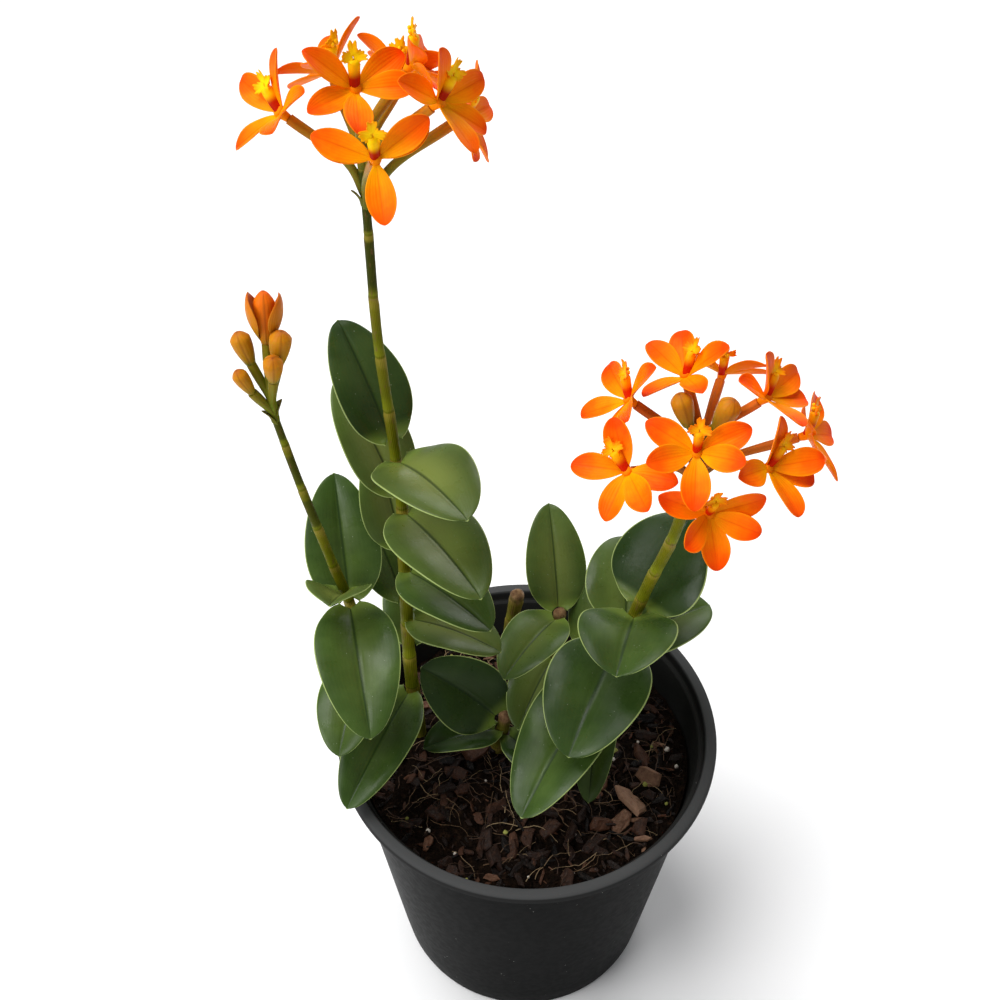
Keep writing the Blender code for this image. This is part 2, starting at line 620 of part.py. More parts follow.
def make_mix():
    """Bark potting mix: one body that fills the pot, with chips standing out of its top and a hole
    for each cane."""
    slope = (WALL_TOP_RADIUS - FOOT_RADIUS) / (POT_HEIGHT - LIP_HEIGHT)
    inner = FOOT_RADIUS - WALL_THICKNESS - GAP
    floor_z = BASE_THICKNESS + GAP
    top_radius = inner + slope * (MIX_LEVEL - 2)
    points, faces = [(0, 0, floor_z)], []
    rings = []

    def ring(radius, height_of):
        rings.append(range(len(points), len(points) + MIX_SEGMENTS))
        for k in range(MIX_SEGMENTS):
            spot = direction(360 * k / MIX_SEGMENTS, 0) * radius
            points.append((spot.x, spot.y, height_of(spot.x, spot.y)))

    ring(inner + slope * floor_z - 0.3, lambda x, y: floor_z)
    ring(top_radius - 0.4, lambda x, y: mix_height(x, y) - 1.2)
    for k in range(MIX_RINGS, 0, -1):
        ring((top_radius - 0.8) * (k - 0.35) / MIX_RINGS, mix_height)
    points.append((0, 0, mix_height(0, 0)))
    for k in range(MIX_SEGMENTS):
        n = (k + 1) % MIX_SEGMENTS
        faces.append((0, rings[0][n], rings[0][k]))
        faces.append((len(points) - 1, rings[-1][k], rings[-1][n]))
    for low, high in zip(rings, rings[1:]):
        for k in range(MIX_SEGMENTS):
            n = (k + 1) % MIX_SEGMENTS
            faces.append((low[k], low[n], high[n]))
            faces.append((low[k], high[n], high[k]))
    mix = new_object("potting_mix", points, faces, ("bark", *BARK))
    combine(mix, [make_chip(spot, dice) for spot, dice in chip_spots()])
    holes = []
    for name, spec in CANES.items():
        foot = Vector(spec["points"][0])
        mouth = cane_axis(name, MIX_LEVEL + 2)
        radius = spec["radius"][0] * (1 + SHEATH_FLARE) + GAP + 0.25
        along = (mouth - foot).normalized()
        holes.append(tube("hole", [foot - along, mouth + along * 6], [radius] * 2, 10))
    combine(mix, holes, "DIFFERENCE")
    return mix


def chip_spots():
    dice = random.Random(BARK_SEED)
    spots = []
    while len(spots) < BARK_CHIPS:
        x, y = dice.uniform(-54, 54), dice.uniform(-54, 54)
        if math.hypot(x, y) > 52:
            continue
        if min(math.hypot(x - s["points"][1][0], y - s["points"][1][1]) for s in CANES.values()) < 10:
            continue
        spots.append(((x, y), dice))
    return spots


def make_chip(spot, dice):
    """A flake of bark: a flat block with cut corners, tilted and half sunk in the mix."""
    long, wide, thick = dice.uniform(5, 11), dice.uniform(3.5, 6.5), dice.uniform(1.6, 2.8)
    outline = [(-0.5, -0.2), (-0.2, -0.5), (0.42, -0.45), (0.5, 0.3), (0.1, 0.5), (-0.45, 0.35)]
    turn = Matrix.Rotation(dice.uniform(0, math.tau), 3, "Z")
    turn = turn @ Matrix.Rotation(dice.uniform(-0.4, 0.4), 3, "X")
    middle = Vector((*spot, mix_height(*spot) + dice.uniform(0.1, 0.7)))
    count = len(outline)
    points = [middle + turn @ Vector((x * long, y * wide, z * thick))
              for z in (-0.5, 0.5) for x, y in outline]
    faces = [tuple(range(count))[::-1], tuple(range(count, 2 * count))]
    faces += [(k, (k + 1) % count, count + (k + 1) % count, count + k) for k in range(count)]
    return new_object("chip", points, faces)


def main():
    clear_scene()
    make_pot()
    make_mix()
    for name in CANES:
        make_cane(name)
    for name in LEAVES:
        make_leaf(name)
    make_blooms()
    make_buds()
    make_opening_bud()


main()
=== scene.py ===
"""Looks of a reed-stem epidendrum orchid in a black nursery pot, built round its solids.

Lengths are in millimetres and angles in degrees until MM turns them into metres.
Each mesh point carries four numbers in the colour attribute FORM, which the materials read:
how far along the form it lies, how far across or round, which side or kind, and a tone.
"""

import random
from math import cos, degrees, exp, hypot, pi, radians, sin, sqrt, tan, tau

import bmesh
import bpy
from mathutils import Matrix, Vector, noise


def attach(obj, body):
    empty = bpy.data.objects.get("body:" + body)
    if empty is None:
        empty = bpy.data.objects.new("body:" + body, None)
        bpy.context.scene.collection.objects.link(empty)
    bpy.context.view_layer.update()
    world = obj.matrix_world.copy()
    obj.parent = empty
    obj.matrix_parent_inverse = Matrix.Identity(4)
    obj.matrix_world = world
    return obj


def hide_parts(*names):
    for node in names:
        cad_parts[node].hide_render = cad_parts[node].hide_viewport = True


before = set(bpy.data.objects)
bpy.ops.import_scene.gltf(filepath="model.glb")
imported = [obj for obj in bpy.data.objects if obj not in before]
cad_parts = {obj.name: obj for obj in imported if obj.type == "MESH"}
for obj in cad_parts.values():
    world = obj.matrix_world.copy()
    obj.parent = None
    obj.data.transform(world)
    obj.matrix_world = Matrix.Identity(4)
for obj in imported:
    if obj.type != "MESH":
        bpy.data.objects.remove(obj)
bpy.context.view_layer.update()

MM = 0.001
FORM = "form"
UP = Vector((0, 0, 1))
PLAIN_MARK = (0, 0, 0, 0)

# Pot
RIM_RADIUS = 70.0
POT_HEIGHT = 123.0
FOOT_RADIUS = 51.6
WALL_TOP_RADIUS = 65.3
WALL_THICKNESS = 1.8
BASE_THICKNESS = 2.4
LIP_HEIGHT = 3.8
LIP_INNER_RADIUS = 65.6
COLLAR_STEP_DEPTH = 4.6
COLLAR_DEPTH = 12.0
DRAIN_HOLES = 6
DRAIN_RADIUS = 4.0
DRAIN_RING_RADIUS = 38.0
DRILL_REACH = 3.0
GAP = 0.35
POT_SEGMENTS = 160
POT_SHARP_ANGLE = 32
UNDER_LIP = POT_HEIGHT - LIP_HEIGHT
WALL_SLOPE = (WALL_TOP_RADIUS - FOOT_RADIUS) / UNDER_LIP
INNER_TOP = WALL_TOP_RADIUS - WALL_THICKNESS
INNER_FOOT = FOOT_RADIUS - WALL_THICKNESS
STEP_LEVEL = POT_HEIGHT - COLLAR_STEP_DEPTH
# The pot's outline, from the foot up the wall, over the lip and down inside: a radius and a height,
# then steps out and up from them. The first group of the inside is INNER_GROUP.
POT_OUTLINE = [
    (FOOT_RADIUS, 0, [(-6, 0), (-2.2, 0), (-0.9, 0.25), (-0.2, 0.9), (0.1, 2.0)]),
    (FOOT_RADIUS, 0, [(WALL_SLOPE * z, z) for z in (12, 30, 50, 70, 90, 105)]),
    (WALL_TOP_RADIUS, UNDER_LIP, [(-0.45, -4.0), (-0.25, -1.2), (0.1, -0.4), (0.9, -0.05)]),
    (RIM_RADIUS, UNDER_LIP, [(-1.3, 0), (-0.5, 0.12), (-0.1, 0.5), (0, 1.0)]),
    (RIM_RADIUS, POT_HEIGHT, [(0, -1.3), (-0.15, -0.65), (-0.6, -0.2), (-1.2, 0)]),
    (LIP_INNER_RADIUS, POT_HEIGHT, [(1.3, -0.05), (0.6, -0.25), (0.15, -0.9), (0, -2.0)]),
    (LIP_INNER_RADIUS, STEP_LEVEL, [(-0.2, 0.5), (-0.6, 0)]),
    (INNER_TOP, STEP_LEVEL, [(0.7, -0.05), (0.2, -0.5)]),
    (INNER_TOP, POT_HEIGHT - COLLAR_DEPTH,
     [(-WALL_SLOPE * 4, 4), (-WALL_SLOPE * (COLLAR_DEPTH - LIP_HEIGHT), 0)]),
    (INNER_FOOT, BASE_THICKNESS, [(WALL_SLOPE * BASE_THICKNESS, 1.5), (-1.5, 0)]),
]
INNER_GROUP = 5

# Potting mix
MIX_LEVEL = 106.0
MIX_RELIEF = 2.2
MIX_RINGS = 62
MIX_SEGMENTS = 168
BARK_SEED, ROOT_SEED, GRAIN_SEED = 21, 8, 5
SMALL_CHIPS, LARGE_CHIPS, ROOTS, SMALL_GRAINS = 900, 80, 300, 46
# The order of the paints in the mix.
FINES, BARK, FIBRE, CRUMB = range(4)
# The cut of a chip: height as a share of its thickness, and share of its outline.
CHIP_LEVELS = ((-0.5, 0.86), (-0.2, 1.0), (0.25, 0.98), (0.5, 0.84), (0.56, 0.45))
# The largest bark chips: place, length, width and tone from wet black to dry pale brown.
BIG_CHIP_THICKNESS = 2.6
BIG_CHIP_LIFT = 1.2
BIG_CHIPS = [
    (38, -22, 16, 10, 1.0), (45, -13, 13, 8, 0.85), (34, -31, 11, 7, 0.8), (26, -33, 9, 6, 0.6),
    (-20, -2, 14, 8, 0.55), (-27, -10, 11, 6, 0.45), (-2, -14, 10, 7, 0.35), (8, -34, 11, 6, 0.4),
    (-33, -28, 10, 6, 0.35), (44, -3, 11, 6, 0.5), (-10, 50, 12, 7, 0.5), (30, 42, 13, 7, 0.45),
    (-40, 34, 11, 6, 0.4), (-12, -46, 10, 6, 0.3), (40, -34, 9, 6, 0.45), (4, 8, 11, 7, 0.3),
]
# Perlite and moss crumbs that stand out: place, radius and 0 for white or 1 for yellow-green.
GRAINS = [
    (-1, -16, 1.6, 0.0), (20, -12, 0.8, 0.0), (33, -4, 0.7, 0.0), (-8, -37, 0.9, 1.0),
    (24, -34, 0.9, 1.0), (34, 0, 1.0, 1.0), (-26, 20, 0.9, 0.0), (14, 44, 1.0, 0.0),
]

# Canes: points from inside the mix to the tip, radius at the foot and at the tip, internode length.
TALL, BUDDING, RIGHT = "cane_tall", "cane_budding", "cane_right"
CANES = {
    TALL: (
        [(-41, 9, 84), (-41, 8, 108), (-42, 4, 150), (-41, 0, 200), (-40, 0, 236),
         (-41, 0, 262), (-43, 0, 300), (-43, 0, 334), (-43, 0, 349)],
        (2.7, 1.05), 19.0),
    BUDDING: (
        [(-51, 14, 84), (-52, 12, 108), (-56.5, 3, 150), (-58, -8, 197), (-62, -10, 222),
         (-67.5, -11, 254), (-72, -12, 284.5)],
        (2.6, 1.0), 17.0),
    RIGHT: (
        [(22, 8, 84), (22, 8, 108), (28, 4, 150), (34, -5, 190), (37, -11, 214),
         (41, -17, 240), (43, -21, 266), (43.5, -22, 276)],
        (2.8, 1.45), 17.0),
    "cane_back_stub": (
        [(-8, 40, 80), (-8, 40, 106), (-6, 41, 128), (-3, 42, 150)],
        (2.2, 2.7), 11.0),
    "cane_centre_stub": (
        [(9, 24, 84), (9, 24, 106), (11, 24, 134), (12, 24, 160)],
        (2.6, 2.3), 13.0),
    "cane_front_stub": (
        [(-11, 2, 84), (-11, 2, 108), (-9, 0, 120), (-8, -2, 132)],
        (2.6, 2.2), 12.0),
    "cane_right_stub": (
        [(16, 20, 84), (16, 20, 108), (17, 18, 128), (18, 15, 150)],
        (2.6, 2.2), 13.0),
}
STEM, STALK = range(2)
CANE_SIDES = 22
CANE_STEP = 1.1
CANE_SHARP_ANGLE = 50
AXIS_STEP = 4.0
SHEATH_FLARE = 0.16
# Heights at which the upper stem of each cane turns dark.
TALL_DARK_FROM = 312
BUDDING_DARK_FROM = 232
DRY_BELOW = 112
PEDICEL_RADIUS = (1.0, 1.35)
PEDICEL_SIDES = 14
# The lower and the upper scale under a head: height above the lower one's foot, azimuth and length.
SCALES = ((0, -150, 5.0), (2.5, 30, 4.0))
SCALE_DROP = 4.0

# The point that the flower stalks of each head radiate from.
HEADS = {TALL: (-43, 0, 343), RIGHT: (43, -21, 270), BUDDING: (-72, -12, 283.5)}
# How wide the tepals of each head are, next to TEPAL_WIDTH.
TEPAL_SPREADS = {TALL: 0.9, RIGHT: 1.0}
# How near to yellow the orange of each head is, and how yellow its lips are.
BLOOM_TONES = {TALL: 0.56, RIGHT: 0.4}
LIP_YELLOWS = {TALL: 0.9, RIGHT: 0.46}
# How red the flower stalks are, where it isn't 0.
STALK_FLUSH = {RIGHT: 1.0}

# Leaves
LEAF_THICKNESS = 0.9
LEAF_BASE_SHARE = 0.26
LEAF_TIP_SHARE = 0.05
LEAF_GRID = (40, 26)
GROOVE_DEPTH = 0.45
GROOVE_SHARE = 0.055
BELLY = 0.8
LEAF_WAVE = 0.45
CLASP_DEPTH = 2.4
CLASP_SHARE = 0.11
LEAF_TONE = 0.35
# Leaves of each cane, each group with the start of its names. A row gives height above the floor, azimuth,
# rise at the base, droop over the length, length, width, fold of the two halves, roll about the midrib,
# and the tone from dark to pale green, or None for one near LEAF_TONE. The tone is partly the leaf's own
# green and partly painted light and shade: leaves that lie in shade get a low tone, lit ones a high one.
LEAVES = {
    ("leaf_tall", TALL): [
        (261, 124, 55, 20, 37, 23, 16, 0, 0.12), (255, -56, 26, 32, 37, 29, 17, 0, 0.75),
        (240, 128, 52, 20, 38, 23, 18, 0, 0.8), (234, -56, 15, 30, 41, 28, 15, 0, 0.65),
        (216, 112, 62, 20, 32, 22, 18, 0, 0.7), (208, -46, 17, 24, 37, 24, 18, 3, 0.35),
        (190, 118, 42, 22, 38, 22, 18, 0, 0.3), (182, -26, 17, 33, 32, 22, 18, 0, 0.75),
        (164, 84, 46, 20, 38, 22, 18, 0, None), (139, -114, 1, 22, 47, 24, 20, -7, None)],
    ("leaf_budding", BUDDING): [
        (208, -95, 46, 14, 19, 21, 30, 0, 1.0), (200, 100, 60, 18, 40, 25, 14, 0, None),
        (201, -78, 2, 38, 44, 27, 16, -2, None), (162, -100, 2, 30, 34, 24, 14, 6, None)],
    ("leaf_front", "cane_front_stub"): [
        (129, 168, 48, 20, 34, 28, 16, -42, 0.08), (121, -157, 24, 32, 28, 19, 18, 3, 0.1),
        (119, -48, 10, 36, 24, 17, 18, 0, 0.1)],
    ("leaf_centre", "cane_centre_stub"): [
        (157, 98, 60, 24, 38, 23, 14, 0, 0.6), (157, -124, 19, 36, 33, 22, 20, 0, None),
        (135, -114, 10, 34, 32, 22, 18, 0, 0.6)],
    ("leaf_stub", "cane_right_stub"): [(148, 39, 56, 24, 46, 28, 14, 0, 0.45)],
    ("leaf_right", RIGHT): [
        (194, 47, 58, 20, 33, 35, 10, 0, 0.0), (193, -107, 19, 36, 25, 33, 20, 6, 0.25),
        (180, 88, 34, 30, 32, 29, 15, 0, 0.5), (172, -116, -1, 32, 42, 36, 15, 0, 0.12),
        (168, 25, 19, 27, 33, 28, 15, 0, 0.5), (152, -120, 0, 22, 60, 32, 14, 8, None),
        (140, -98, -6, 34, 40, 16, 16, 0, None)],
}

# Blooms
TEPAL_THICKNESS = 0.55
TEPAL_LENGTH = 14.0
TEPAL_WIDTH = 7.4
TEPAL_START = 0.9
TEPAL_GRID = (18, 12)
TEPAL_CUPPING = 0.32
HEART_RADIUS = 1.6
# Left and right sepal, left and right petal, low sepal: angle round the face from the lip, opening from
# the axis, bend over the length, length and width shares.
TEPALS = [
    (58, 62, 22, 1.0, 1.0), (-58, 62, 22, 1.0, 1.0),
    (112, 70, 14, 0.94, 0.96), (-112, 70, 14, 0.94, 0.96),
    (180, 78, 10, 1.0, 1.02),
]
LIP_CLAW_LENGTH = 7.0
LIP_CLAW_RADIUS = 1.35
LIP_GRID = (7, 92)
LIP_SPREAD = 152
LIP_HALF_THICKNESS = 0.24
# Lumps of the callus: place to the side and ahead of the lip's hinge, and radius.
CALLUS = ((-0.7, 0.4, 0.62), (0.7, 0.4, 0.62), (0.0, 1.3, 0.5))
# Blooms of each cane, each group with the start of its names. A row gives height of the stalk's foot,
# azimuth, rise and length of the stalk from the head's middle, azimuth and rise of the face, turn of the
# lip about the face, then the angle round the face and the opening of each tepal in the order of TEPALS,
# or None for a tepal that stands as it does there.
BLOOM_ROWS = {
    ("bloom_tall", TALL): [
        (338, -75, 42, 27, -84, 26, 2, (65, 76), (-58, 74), (68, 84), (-62, 82), (182, 64)),
        (347, -88, 84, 25, -65, 48, -4, (55, 55), (-62, 76), None, (-100, 68), (165, 58)),
        (341, 168, 44, 24, -160, 44, 65, (32, 48), (-50, 40), None, None, (198, 64)),
        (342, -6, 52, 28, -28, 30, -36, (50, 38), None, (84, 80), None, (196, 58)),
        (339, 30, 24, 28, -10, 18, 5, (32, 58), None, None, None, (190, 82)),
        (343, 118, 58, 26, 150, 54, 0, (58, 50), None, (112, 50), (-112, 54), None),
        (345, 42, 60, 29, 10, 38, -14, (68, 56), (-92, 68), None, (-116, 80), None),
        (344, 62, 46, 26, 76, 46, 0, None, (-58, 48), None, (-112, 52), None)],
    ("bloom_right", RIGHT): [
        (272, -102, 51, 28, -97, 45, 0, (63, 76), (-61, 70), (108, 60), (-100, 48), (182, 76)),
        (266, -142, 28, 27, -132, 48, 56, None, (-20, 46), (130, 84), (-130, 84), (188, 64)),
        (262, -90, 16, 24, -77, 24, 0, (62, 80), (-75, 60), (115, 42), (-115, 55), (180, 66)),
        (267, -50, 36, 26, -33, 37, -46, (28, 44), (-74, 34), (112, 80), (-96, 60), (200, 60)),
        (269, 172, 50, 27, 176, 36, 34, (66, 58), (-46, 66), (146, 54), None, (196, 96)),
        (273, 108, 66, 24, 175, 67, 44, (42, 58), (-45, 55), (90, 44), None, (180, 66)),
        (271, -4, 60, 28, -19, 49, -50, (56, 36), None, (84, 72), (-90, 70), (176, 50)),
        (265, -1, 24, 29, -5, 36, -30),
        (270, 68, 36, 26, 70, 50, 0)],
}
BLOOMS = {f"{start}_{number}": (cane, *row)
          for (start, cane), rows in BLOOM_ROWS.items() for number, row in enumerate(rows, 1)}
# Neighbouring blooms whose tepals press into each other, kept as one piece.
TOUCHING = {"bloom_tall_7": ["bloom_tall_8"]}

# Buds: cane, foot of the stalk, azimuth, rise and length of the stalk, bud length, bud radius.
RIGHT_BUDS = [(RIGHT, 274, 185, 78, 17.5, 10.5, 2.9), (RIGHT, 274, -25, 75, 18, 10.5, 3.1)]
LEFT_BUDS = [
    (BUDDING, 280, 155, 74, 15, 9.5, 2.7), (BUDDING, 279, 205, 60, 8.5, 8.5, 2.1),
    (BUDDING, 281, -50, 72, 13, 9.0, 2.6), (BUDDING, 281, 5, 76, 16, 10.0, 2.9),
]
# The bud that has begun to open: stalk as above, then the length and width of its sepals.
OPENING_BUD = (BUDDING, 282, 75, 80, 20, 13.5, 7.6)
BUD_SIDES = 26
BUD_RINGS = (0, 0.05, 0.12, 0.2, 0.3, 0.4, 0.5, 0.6, 0.7, 0.8, 0.87, 0.93, 0.97, 1.0)
BUD_STALK_GREEN = 0.8

# Studio, in metres and watts
FLOOR_HALF = 4.0
FLOOR_GREY = 0.88
FLOOR_ROUGHNESS = 0.95
WORLD_COLOUR = (0.97, 0.98, 1.0, 1)
WORLD_STRENGTH = 0.3
SUN_STRENGTH = 2.7
SUN_WIDTH = 38
SUN_HEADING = (0.32, -0.1, -1)
# Round lamps that look at LAMP_TARGET: place, size and power.
LAMPS = {"key": ((-0.65, -0.45, 0.75), 0.5, 4.5), "back": ((0.35, 0.85, 0.8), 0.7, 4.0)}
LAMP_TARGET = (0, 0, 0.2)
CAMERA_PLACE = (-0.01, -0.26343, 0.49151)
CAMERA_TILT = 46.1
CAMERA_LENS = 43.2
CAMERA_SENSOR = 36.0
CAMERA_CLIP = 0.01


def put(name, data, place=(0, 0, 0), aim=None):
    """An object in the scene, looking along aim if that is given."""
    made = bpy.data.objects.new(name, data)
    made.location = place
    if aim:
        made.rotation_euler = aim.to_track_quat("-Z", "Y").to_euler()
    bpy.context.scene.collection.objects.link(made)
    return made


class Shape:
    """Gathers points, faces, the four numbers of each point and the paint of each face."""

    def __init__(self):
        self.points = []
        self.faces = []
        self.marks = []
        self.paints = []

    def add(self, points, faces, marks, paint=0):
        start = len(self.points)
        self.points += points
        self.marks += marks
        self.faces += [tuple(start + k for k in face) for face in faces]
        self.paints += [paint] * len(faces)

    def finish(self, name, paints, smooth=True, sharp_angle=None):
        """The gathered shape as an object of the scene."""
        mesh = bpy.data.meshes.new(name)
        mesh.from_pydata([tuple(c * MM for c in p) for p in self.points], [], self.faces)
        for paint in paints:
            mesh.materials.append(paint)
        mesh.polygons.foreach_set("material_index", self.paints)
        form = mesh.color_attributes.new(FORM, "FLOAT_COLOR", "POINT")
        form.data.foreach_set("color", [value for mark in self.marks for value in mark])
        turn_outwards(mesh)
        if smooth:
            mesh.shade_smooth()
        if sharp_angle:
            mesh.set_sharp_from_angle(angle=radians(sharp_angle))
        return put(name, mesh)


def turn_outwards(mesh):
    shell = bmesh.new()
    shell.from_mesh(mesh)
    bmesh.ops.recalc_face_normals(shell, faces=shell.faces)
    shell.to_mesh(mesh)
    shell.free()


def stand_for(piece, node):
    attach(piece, "root")
    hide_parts(node)


def clamp(value, low=0.0, high=1.0):
    return min(max(value, low), high)


def blend(a, b, share):
    return a + (b - a) * share


def peak(value, width):
    """A bell round zero."""
    return exp(-((value / width) ** 2))


def direction(azimuth, rise):
    a, r = radians(azimuth), radians(rise)
    return Vector((cos(a) * cos(r), sin(a) * cos(r), sin(r)))


def turned(vector, angle, axis):
    return Matrix.Rotation(radians(angle), 3, axis) @ vector


def smooth_path(points, step):
    """Points about one step apart on a Catmull-Rom curve through the given ones."""
    knots = [Vector(p) for p in points]
    knots = [knots[0] * 2 - knots[1], *knots, knots[-1] * 2 - knots[-2]]
    path = []
    for a, b, c, d in zip(knots, knots[1:], knots[2:], knots[3:]):
        count = max(1, round((c - b).length / step))
        for k in range(count):
            t = k / count
            path.append(0.5 * (2 * b + (c - a) * t + (2 * a - 5 * b + 4 * c - d) * t * t
                               + (3 * b - a - 3 * c + d) * t ** 3))
    path.append(knots[-2])
    return path


AXES = {name: smooth_path(points, AXIS_STEP) for name, (points, _, _) in CANES.items()}


def arc_point(s, length, start, bend):
    """Distance out and up, s of the way along an arc that starts at an angle and bends down by bend."""
    steps = 8
    out = up = 0.0
    for k in range(steps):
        turn = radians(start - bend * s * (k + 0.5) / steps)
        out += cos(turn) * length * s / steps
        up += sin(turn) * length * s / steps
    return out, up


def capped_rings(rings, sides):
    """Faces of rings of points, followed by a middle point for the first and one for the last ring."""
    faces = []
    for i in range(rings - 1):
        for k in range(sides):
            a, b = i * sides + k, i * sides + (k + 1) % sides
            faces.append((a, b, b + sides, a + sides))
    centre = rings * sides
    for middle, first in ((centre, 0), (centre + 1, centre - sides)):
        faces += [(middle, first + k, first + (k + 1) % sides) for k in range(sides)]
    return faces


def add_sheets(shape, grid, cell_of, paint):
    """An upper and a lower grid of points, joined along their rim. For each place in the grid, cell_of gives
    the point between the two, the way from it to the upper one, and the marks of both."""
    rows, columns = grid
    cells = [cell_of(i / rows, j / columns) for i in range(rows + 1) for j in range(columns + 1)]
    points = [middle + half for middle, half, _, _ in cells] + [middle - half for middle, half, _, _ in cells]
    marks = [mark for _, _, mark, _ in cells] + [mark for _, _, _, mark in cells]
    width = columns + 1
    below = len(cells)
    faces = []
    for i in range(rows):
        for j in range(columns):
            a, b = i * width + j, i * width + j + 1
            c, d = b + width, a + width
            faces += [(a, b, c, d), (below + d, below + c, below + b, below + a)]
    rim = [*range(columns), *(i * width + columns for i in range(rows)),
           *(rows * width + j for j in range(columns, 0, -1)), *(i * width for i in range(rows, 0, -1))]
    faces += [(a, below + a, below + b, b) for a, b in zip(rim, rim[1:] + rim[:1])]
    shape.add(points, faces, marks, paint)


def tube(shape, path, radius_of, sides, mark_of, paint=0):
    """A closed tube along a path, its radius and marks given by place and turn."""
    points, marks = [], []
    side = None
    last = len(path) - 1
    for i, here in enumerate(path):
        along = (path[min(i + 1, last)] - path[max(i - 1, 0)]).normalized()
        if side is None:
            side = along.orthogonal()
        side = (side - along * side.dot(along)).normalized()
        over = along.cross(side)
        for k in range(sides):
            turn = 2 * pi * k / sides
            radius = radius_of(i / last, turn)
            points.append(here + (side * cos(turn) + over * sin(turn)) * radius)
            marks.append(mark_of(i / last, turn))
    marks += [mark_of(0.0, 0), mark_of(1.0, 0)]
    shape.add(points + [path[0], path[-1]], capped_rings(len(path), sides), marks, paint)


def blade(shape, surface, grid, thickness, mark_of, paint=0):
    """A thin closed blade that thins towards its margins. Its rows and columns crowd at the rims."""
    step = 1e-3
    edge = 0.25

    def cell(row_share, column_share):
        s = 0.5 - 0.5 * cos(pi * row_share)
        t = sin(pi / 2 * (2 * column_share - 1))
        along = surface(s + step, t) - surface(s - step, t)
        across = surface(s, t + step) - surface(s, t - step)
        normal = along.cross(across)
        normal = normal.normalized() if normal.length else UP
        half = thickness / 2 * blend(edge, 1, sqrt(max(0.0, 1 - t * t))) * clamp(0.35 + 12 * (1 - s))
        return surface(s, t), normal * half, mark_of(s, t, 0.0), mark_of(s, t, 1.0)

    add_sheets(shape, grid, cell, paint)


def add_ball(shape, middle, size, unevenness, fineness, mark, paint):
    """A lumpy ball."""
    ball = bmesh.new()
    bmesh.ops.create_icosphere(ball, subdivisions=2, radius=size)
    points = [middle + v.co * (1 + unevenness * noise.noise(v.co * fineness + middle)) for v in ball.verts]
    faces = [tuple(v.index for v in face.verts) for face in ball.faces]
    shape.add(points, faces, [mark] * len(points), paint)
    ball.free()


def cane_span(name):
    """Heights of the cane's foot and tip."""
    points = CANES[name][0]
    return points[0][2], points[-1][2]


def cane_axis(name, height):
    path = AXES[name]
    for low, high in zip(path, path[1:]):
        if low.z <= height <= high.z:
            return low.lerp(high, (height - low.z) / (high.z - low.z))
    return path[-1]


def plain_radius(name, height):
    foot, tip = cane_span(name)
    return blend(*CANES[name][1], (height - foot) / (tip - foot))


def internode_share(name, height):
    internode = CANES[name][2]
    return ((height - cane_span(name)[0]) % internode) / internode


def stalk_line(cane, foot_height, azimuth, rise, length):
    """The flower stalk's middle line, its tip and the way it points there."""
    foot = cane_axis(cane, foot_height)
    end = Vector(HEADS[cane]) + direction(azimuth, rise) * length
    early = foot + direction(azimuth, min(88, rise + 22)) * length * 0.42
    coarse = smooth_path([foot, early, end], 10.0)
    return smooth_path([foot, early, end], 1.4), end, (end - coarse[-2]).normalized()


